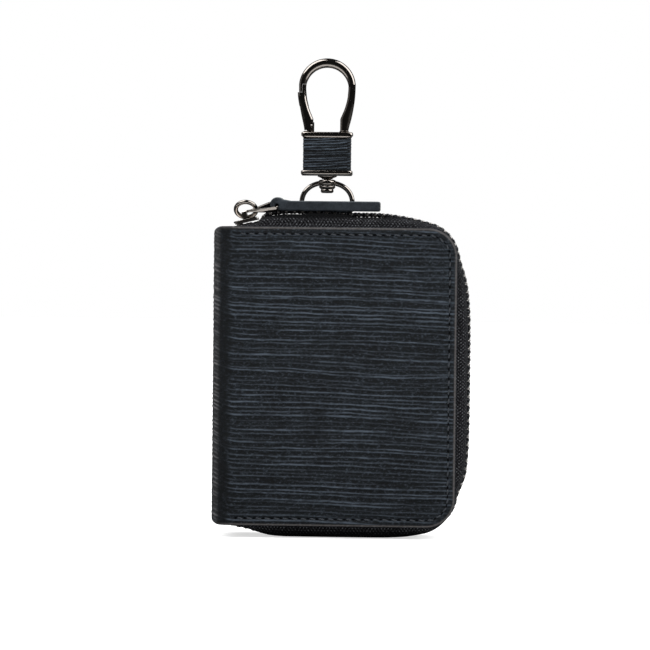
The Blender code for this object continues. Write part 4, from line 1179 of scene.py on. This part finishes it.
def spoolPlate(name, rows, halfWidth, halfDepth):
    power = 2 / hookSize["plateSquare"]
    rings = []
    for inset, z in rows:
        wide, deep = halfWidth - inset, halfDepth - inset
        rings.append([
            (spoolX + wide * squared(c, power), hookSize["y"] + deep * squared(s, power), z)
            for c, s in circle(1, 72)
        ])
    return addStacks(name, [rings], nickel, 32)


def spoolFlange(name, low, high, narrowBelow=0.0):
    tall = high - low
    rows = [
        (0.55, 0.0), (0.42, 0.03), (0.22, 0.28), (0.12, 0.42), (0.02, 0.70), (0.0, 0.78),
        (0.0, tall - 0.50), (0.06, tall - 0.28), (0.20, tall - 0.09), (0.42, tall),
    ]
    rows = [(inset + (narrowBelow if up < 0.75 else 0.0), low + up) for inset, up in rows]
    return spoolPlate(name, rows, hookSize["flangeHalf"], hookSize["flangeDepth"])


def legHalves(height):
    size = hookSize
    if height >= size["rise"]:
        up = height - size["rise"]
        outer = math.sqrt(max(size["crownHalf"] ** 2 - up ** 2, 0))
        return outer, math.sqrt(max(size["innerHalf"] ** 2 - (up + size["drop"]) ** 2, 0))
    share = max(height, 0) / size["rise"]
    heights, outs, ins = zip(*legShares)
    return np.interp(share, heights, outs) * size["crownHalf"], np.interp(share, heights, ins) * size["innerHalf"]


def smoothOutline(heights):  # legs eased into the crown, but sharp at the inner corner
    rise = hookSize["rise"]
    dense = np.linspace(-1.5, rise + 4, 240)
    outer, inner = np.array([legHalves(h) for h in dense]).T
    outer, innerSoft = (
        np.convolve(np.pad(half, pad, mode="edge"), np.ones(2 * pad + 1) / (2 * pad + 1), "valid")
        for half, pad in ((outer, 20), (inner, 14))
    )
    keep = ease((dense - 0.29 * rise - 0.2) / 2.0)
    inner = inner * (1 - keep) + innerSoft * keep
    return [(np.interp(h, dense, outer), np.interp(h, dense, inner)) for h in heights]


def loftHook(name, pairs):
    rings = []
    for outer, inner in pairs:
        (x, z), (reachX, reachZ) = np.add(outer, inner) / 2, np.subtract(outer, inner) / 2
        rings.append([])
        for c, s in circle(1, 28):
            out, side = squared(c, hookSize["wireSquare"]), squared(s, hookSize["wireSquare"])
            y = hookSize["y"] + hookSize["deep"] * side
            rings[-1].append((crownX + x + reachX * out, y, base + z + reachZ * out))
    return addStacks(name, [rings], nickel)


def cutBox(wide, deep, tall):
    x, y, z = crownX, hookSize["y"], base
    points = [(x + a, y + b, z + c) for a in wide for b in (-deep, deep) for c in tall]
    faces = [(0, 1, 3, 2), (4, 6, 7, 5), (0, 4, 5, 1), (2, 3, 7, 6), (0, 2, 6, 4), (1, 5, 7, 3)]
    return addPiece("cutBox", points, faces, nickel, smooth=False)


def crownAndGate():
    size = hookSize
    rise, lip, crownHalf, innerHalf = size["rise"], size["lip"], size["crownHalf"], size["innerHalf"]
    middle = (crownHalf + innerHalf) / 2
    heights = np.concatenate([[-1.0, 0.2], np.linspace(0.6, rise, 40)])
    pairs = [((o, h), (i, h)) for h, (o, i) in zip(heights, smoothOutline(heights))]
    for a in np.linspace(0, math.pi, 61)[1:-1]:
        c, s = math.cos(a), math.sin(a)
        pairs.append(((crownHalf * c, rise + crownHalf * s), (innerHalf * c, rise - size["drop"] + innerHalf * s)))
    heights = [rise, rise - 0.6, rise - 1.2, lip]
    pairs += [((-o, h), (-i, h)) for h, (o, i) in zip(heights, smoothOutline(heights))]
    crown = loftHook("hookCrownMetal", pairs)
    combine(crown, cutBox((-middle - 0.03, 2 - innerHalf), 4, (lip - 2, rise + 0.86)), "DIFFERENCE")
    heights = np.concatenate([np.linspace(0.62, rise, 40), [rise + 0.4, rise + 0.8]])
    swell = 0.30 + 0.16 * hump(heights, 12.2, 2.6) + 0.24 * np.exp(-(heights / 2.5))
    pairs = [((-o - w, h), (-i, h)) for h, (o, i), w in zip(heights, smoothOutline(heights), swell)]
    gate = loftHook("hookGateMetal", pairs)
    combine(gate, cutBox((-14, 0.03 - middle), 4, (lip - 0.06, rise + 2)), "DIFFERENCE")
    combine(gate, cutBox((-12, 0), 0.9, (-2, 8.6)), "DIFFERENCE")
    combine(crown, cutBox((-6.6, -4.2), 0.6, (-1, 3.2)))  # lug the gate turns on
    return shadeByAngle(crown, 38), shadeByAngle(gate, 38)


def footCollar(name, side):
    outer, inner = legHalves(0.3)
    outer += 0.5 if side < 0 else 0.1
    x, half = crownX + side * (outer + inner) / 2, (outer - inner) / 2 + 0.16
    tall = 0.74 if side < 0 else 1.0  # low under the gate, which turns above it
    rings = [
        [(x + a, hookSize["y"] + b, base + z * tall) for a, b in roundedRect(half - inset, 1.75 - inset, 0.7, 6)]
        for inset, z in ((0.2, 0.0), (0.0, 0.08), (0.0, 0.30), (0.10, 0.42), (0.34, 0.50))
    ]
    return addStacks(name, [rings], nickel, 32)


def pinHead(name, face):
    x, z = hookSize["pin"]
    rings = [
        [(x + a, hookSize["y"] + face * (1.56 + out), z + b) for a, b in circle(radius, 18)]
        for radius, out in ((0.30, 0.0), (0.30, 0.06), (0.26, 0.16), (0.16, 0.24), (0.05, 0.27))
    ]
    return addStacks(name, [rings], teethMetal)


def leatherWrap():
    size = hookSize
    low = size["spool"] + size["lowerFlange"] + 0.02
    high = size["wrap"] - 0.04
    corners = np.array(roundedRect(size["wrapHalf"], size["wrapDepth"], 0.9, 8))
    outline = []
    for a, b in zip(corners, np.roll(corners, -1, 0)):
        count = max(1, int(np.linalg.norm(b - a) / 0.3))
        outline += [a + (b - a) * k / count for k in range(count)]
    outline = np.array(outline)
    near = np.array([0, 0.05, 0.15, 0.3])
    heights = np.concatenate([near, np.linspace(0.5, high - 0.5, 64), high - near[::-1]])
    alongGrid, tall = np.meshgrid(46 - runAlong(outline) * 1.5, heights * 1.5 + 20)
    ridge = leatherRidges(alongGrid, tall - 0.11 * outline[:, 0][None])
    fromEdge = np.minimum(heights, high - heights)[:, None]
    turn = np.roll(outline, -1, 0) - np.roll(outline, 1, 0)
    outward = unit(np.stack([turn[:, 1], -turn[:, 0]], 1))
    amount = 0.20 * (ridge - 0.6) * ease(fromEdge / 0.6) - 0.10 * (1 - ease(fromEdge / 0.3))
    rows, cols = ridge.shape
    count = rows * cols
    z = np.repeat((low + heights)[:, None], cols, 1)
    sheets = []
    for push in (amount, np.full_like(amount, -1.15)):
        flat = outline[None] + outward[None] * push[..., None]
        sheets.append(np.stack([spoolX + flat[..., 0], size["y"] + flat[..., 1], z], -1).reshape(-1, 3))
    faces = gridFaces(rows, cols, closedCols=True) + gridFaces(rows, cols, count, closedCols=True)
    for start in (0, (rows - 1) * cols):
        pairs = [(start + j, start + (j + 1) % cols) for j in range(cols)]
        faces += [(a, b, b + count, a + count) for a, b in pairs]
    # painted shade in the valleys between the ridges
    shades = {"ridge": np.clip(ridge * 1.1, 0, 1), "paintedShadeBand": 1.6 * (1 - ease(ridge / 0.45))}
    shades = {word: np.concatenate([values.ravel(), np.zeros(count)]) for word, values in shades.items()}
    return addPiece("spoolWrapLeather", np.concatenate(sheets), faces, ridged, shades=shades)


post, washer = swivelPost()
lowerTop = hookSize["spool"] + hookSize["lowerFlange"]
lower = spoolFlange("spoolLowerFlange", hookSize["spool"], lowerTop)
upper = spoolFlange("spoolUpperFlange", base - hookSize["upperFlange"], base, 0.32)
core = spoolPlate("spoolCore", [(0, hookSize["spool"] + 1), (0, base - 1)], 6.3, 1.6)
crown, gate = crownAndGate()
dress(post, "gun_metal", "hook", "swivel_post")
dress(washer, "gun_metal", "hook", "swivel_washer")
dress(crown, "gun_metal", "hook", "hook_frame")
dress(leatherWrap(), "ridged_leather", "hook", "leather_wrap")
dress(gate, "gun_metal", "gate", "hook_gate")
for piece in (lower, upper, core, footCollar("rightFootCollar", 1), footCollar("leftFootCollar", -1)):
    dress(piece, "gun_metal", "hook")
for piece in (pinHead("frontPinHead", -1), pinHead("backPinHead", 1)):
    dress(piece, "zip_teeth", "hook")
print("snap hook done")

# Inside: linings and pockets

insideSize = {
    "outer": 10.3,
    "thick": 0.9,
    "inset": 1.2,
    "spineDepth": 2.7,
    "pocketInset": 2.6,
    "pocketLeft": -35.35,
    "pocketThick": 0.7,
    "pocketFace": -9.1,
    "pocketStep": 1.0,
}


def panelOutline(inset, left, high=None, dip=0.0):
    size = caseSize
    right, bottom, corner = size["right"] - inset, size["bottom"] + inset, size["corner"] - inset
    points = [(left, bottom)] + arc(right - corner, bottom + corner, corner, -90, 0, 14)
    if high is None:
        top = size["top"] - inset
        return points + arc(right - corner, top - corner, corner, 0, 90, 14) + [(left, top)]
    points.append((right, high))
    for t in np.arange(1, 24) / 24:
        points.append((right + (left - right) * t, high - dip * math.sin(math.pi * t) ** 2))
    return points + [(left, high)]


def panel(name, outline, near, far, material, rounding):
    outline = np.asarray(outline, float)
    turn = np.roll(outline, -1, 0) - np.roll(outline, 1, 0)
    inward = unit(np.stack([-turn[:, 1], turn[:, 0]], 1))
    step = math.copysign(rounding, far - near)
    rings = [
        [(x, y, z) for x, z in outline + inward * inset]
        for y, inset in ((near, rounding), (near + step, 0), (far - step, 0), (far, rounding))
    ]
    return addStacks(name, [rings], material, 50)


def spineLining():
    size, thick = caseSize, insideSize["thick"]
    flat, edge = size["half"] - size["spineRound"], size["hinge"] - 0.15
    radius = size["spineRound"] - insideSize["spineDepth"]
    sheets = []
    for r in (radius, radius - thick):
        bends = arc(size["hinge"], -flat, r, -95, -180, 13) + arc(size["hinge"], flat, r, 180, 95, 13)
        sheets.append([(edge, -flat - r)] + bends + [(edge, flat + r)])
    outline = sheets[0] + sheets[1][::-1]
    count = len(outline)
    ends = (size["bottom"] + size["endRound"], size["top"] - size["endRound"])
    points = [(x, y, z) for z in ends for x, y in outline]
    faces = gridFaces(2, count, closedCols=True)
    for level in (0, count):
        for k in range(count // 2 - 1):
            faces.append((level + k, level + k + 1, level + count - 2 - k, level + count - 1 - k))
    return shadeByAngle(addPiece("spineLiningCloth", points, faces, lining), 45)


for word, side in (("front", -1), ("back", 1)):
    outer = side * insideSize["outer"]
    outline = panelOutline(insideSize["inset"], caseSize["seam"])
    cloth = panel(word + "LiningCloth", outline, outer - side * insideSize["thick"], outer, lining, 0.2)
    dress(cloth, "lining_cloth", word + "_half", word + "_lining")
for word, height, layer in (("upper", 62.0, 0), ("lower", 47.0, 1)):
    near = insideSize["pocketFace"] + layer * insideSize["pocketStep"]
    inset, left = insideSize["pocketInset"], insideSize["pocketLeft"]
    outline = panelOutline(inset, left, caseSize["bottom"] + inset + height, 3.0)
    pocket = panel(word + "PocketLeather", outline, near, near + insideSize["pocketThick"], smooth, 0.18)
    dress(pocket, "smooth_leather", "front_half", "card_pocket_" + word)
dress(spineLining(), "lining_cloth", "spine", "spine_lining")
print("inside done")

# Materials of the solids that stay

kept = {
    "back_board": board, "front_board": board, "spine_board": board,
    "gate_spring": springSteel, "gate_pin": nickel, "key_rail": nickel,
    "rail_rivet_left": teethMetal, "rail_rivet_right": teethMetal,
}
kept.update((name, nickel) for name in parts if name.startswith("key_hook"))
for name, material in kept.items():
    parts[name].data.materials.clear()
    parts[name].data.materials.append(material)

# Floor, light and camera

stageLook = {
    "floor": 0.80,
    "darkFloor": 0.05,
    "floorWhite": 0.62,
    "farWhite": 1.0,
    "mirrorNear": (-0.085, -0.055),
    "mirrorFar": (-0.42, -0.32),
    "mirrorWide": (0.28, 0.36),
    "leftGlow": 0.24,
    "worldLight": 0.30,
    "roomMirror": 0.018,
}


def floorMaterial():
    look, f = stageLook, finish("paleFloor")
    path = f.add("LightPath").outputs
    spot = f.add("TexCoord").outputs["Object"]
    x, y, z = f.axes(spot)
    near, far = f.spread(y, *look["mirrorNear"]), f.spread(y, *look["mirrorFar"], 1.0, 0.0)
    wide = f.spread(f.math("ABSOLUTE", x), *look["mirrorWide"])
    away = f.math("MAXIMUM", wide, f.math("MAXIMUM", near, far))
    dark = f.times(path["Is Glossy Ray"], away)  # metal mirrors a strip in front
    f.surface(f.mix(dark, (look["floor"],) * 3, (look["darkFloor"],) * 3), 0.9)
    reach = f.add("VectorMath", operation="LENGTH", Vector=spot).outputs["Value"]
    glow = f.spread(reach, 0.10, 0.45, look["floorWhite"], look["farWhite"])
    white = f.add("Emission", Strength=f.times(path["Is Camera Ray"], glow))
    both = f.add("AddShader")
    f.feed(both, 0, f.tree.nodes["Principled BSDF"].outputs[0])
    f.feed(both, 1, white.outputs[0])
    f.feed(f.tree.nodes["Material Output"], 0, both.outputs[0])
    return f.owner


def buildWorld():
    f = Wiring(bpy.data.worlds.new("studio"))
    bpy.context.scene.world = f.owner
    ground = f.tree.nodes["Background"]
    path = f.add("LightPath").outputs
    x, y, z = f.axes(f.add("TexCoord").outputs["Generated"])
    behind = f.times(f.minus(y, 0.90), 14.0, True)  # the white backdrop behind
    leftward = f.times(f.minus(-0.80, x), 8.0, True)
    mirror = f.plus(f.times(behind, 0.95), stageLook["roomMirror"])
    mirror = f.plus(mirror, f.times(leftward, stageLook["leftGlow"]))
    seen = f.math("MAXIMUM", path["Is Camera Ray"], path["Is Transmission Ray"])
    rest = f.minus(f.minus(1.0, seen), path["Is Glossy Ray"], True)
    level = f.plus(seen, f.times(path["Is Glossy Ray"], mirror))
    f.feed(ground, "Strength", f.plus(level, f.times(rest, stageLook["worldLight"])))
    f.feed(ground, "Color", (1, 1, 1))


def softBox(name, place, aim, size, power, tall=None, mirrored=True):
    lamp = bpy.data.lights.new(name, "AREA")
    lamp.energy = power
    lamp.size = size
    if tall:
        lamp.shape = "RECTANGLE"
        lamp.size_y = tall
    holder = putIn(name, lamp)
    holder.location = place
    holder.visible_glossy = mirrored
    holder.rotation_euler = (Vector(aim) - Vector(place)).to_track_quat("-Z", "Y").to_euler()


wide = 3000
ground = [(-wide, -wide, 0), (wide, -wide, 0), (wide, wide, 0), (-wide, wide, 0)]
floor = addPiece("floor", ground, [(0, 1, 2, 3)], floorMaterial(), smooth=False)
floor.location.z = -0.00005
buildWorld()
softBox("frontFill", (-0.25, -0.90, 0.75), (0, 0, 0.08), 0.9, 4.0, mirrored=False)
softBox("rightBox", (0.58, -0.14, 0.64), (0, 0, 0.14), 0.80, 9.2, 0.95)
softBox("leftBox", (-0.45, -0.14, 0.80), (0, 0, 0.14), 0.80, 7.5, 0.74)

cameraSize = {
    "aim": (-5.8, 0.0, 69.7),
    "distance": 1400,
    "turn": 3.0,
    "rise": 1.4,
    "roll": 0.6,
    "frame": 214.5,
    "sensor": 36,
}


def placeCamera():
    size = cameraSize
    turn, rise = math.radians(size["turn"]), math.radians(size["rise"])
    lens = bpy.data.cameras.new("camera")
    lens.sensor_width = size["sensor"]
    lens.lens = size["sensor"] * size["distance"] / size["frame"]
    lens.clip_start = 0.05
    lens.clip_end = 20
    eye = putIn("camera", lens)
    back = Vector((math.sin(turn) * math.cos(rise), -math.cos(turn) * math.cos(rise), math.sin(rise)))
    eye.location = (Vector(size["aim"]) + back * size["distance"]) * mm
    look = (-back).to_track_quat("-Z", "Y").to_matrix()
    eye.rotation_euler = (look @ Matrix.Rotation(math.radians(size["roll"]), 3, "Z")).to_euler()
    bpy.context.scene.camera = eye


placeCamera()
bpy.context.scene.view_settings.view_transform = "Standard"
print("stage done")
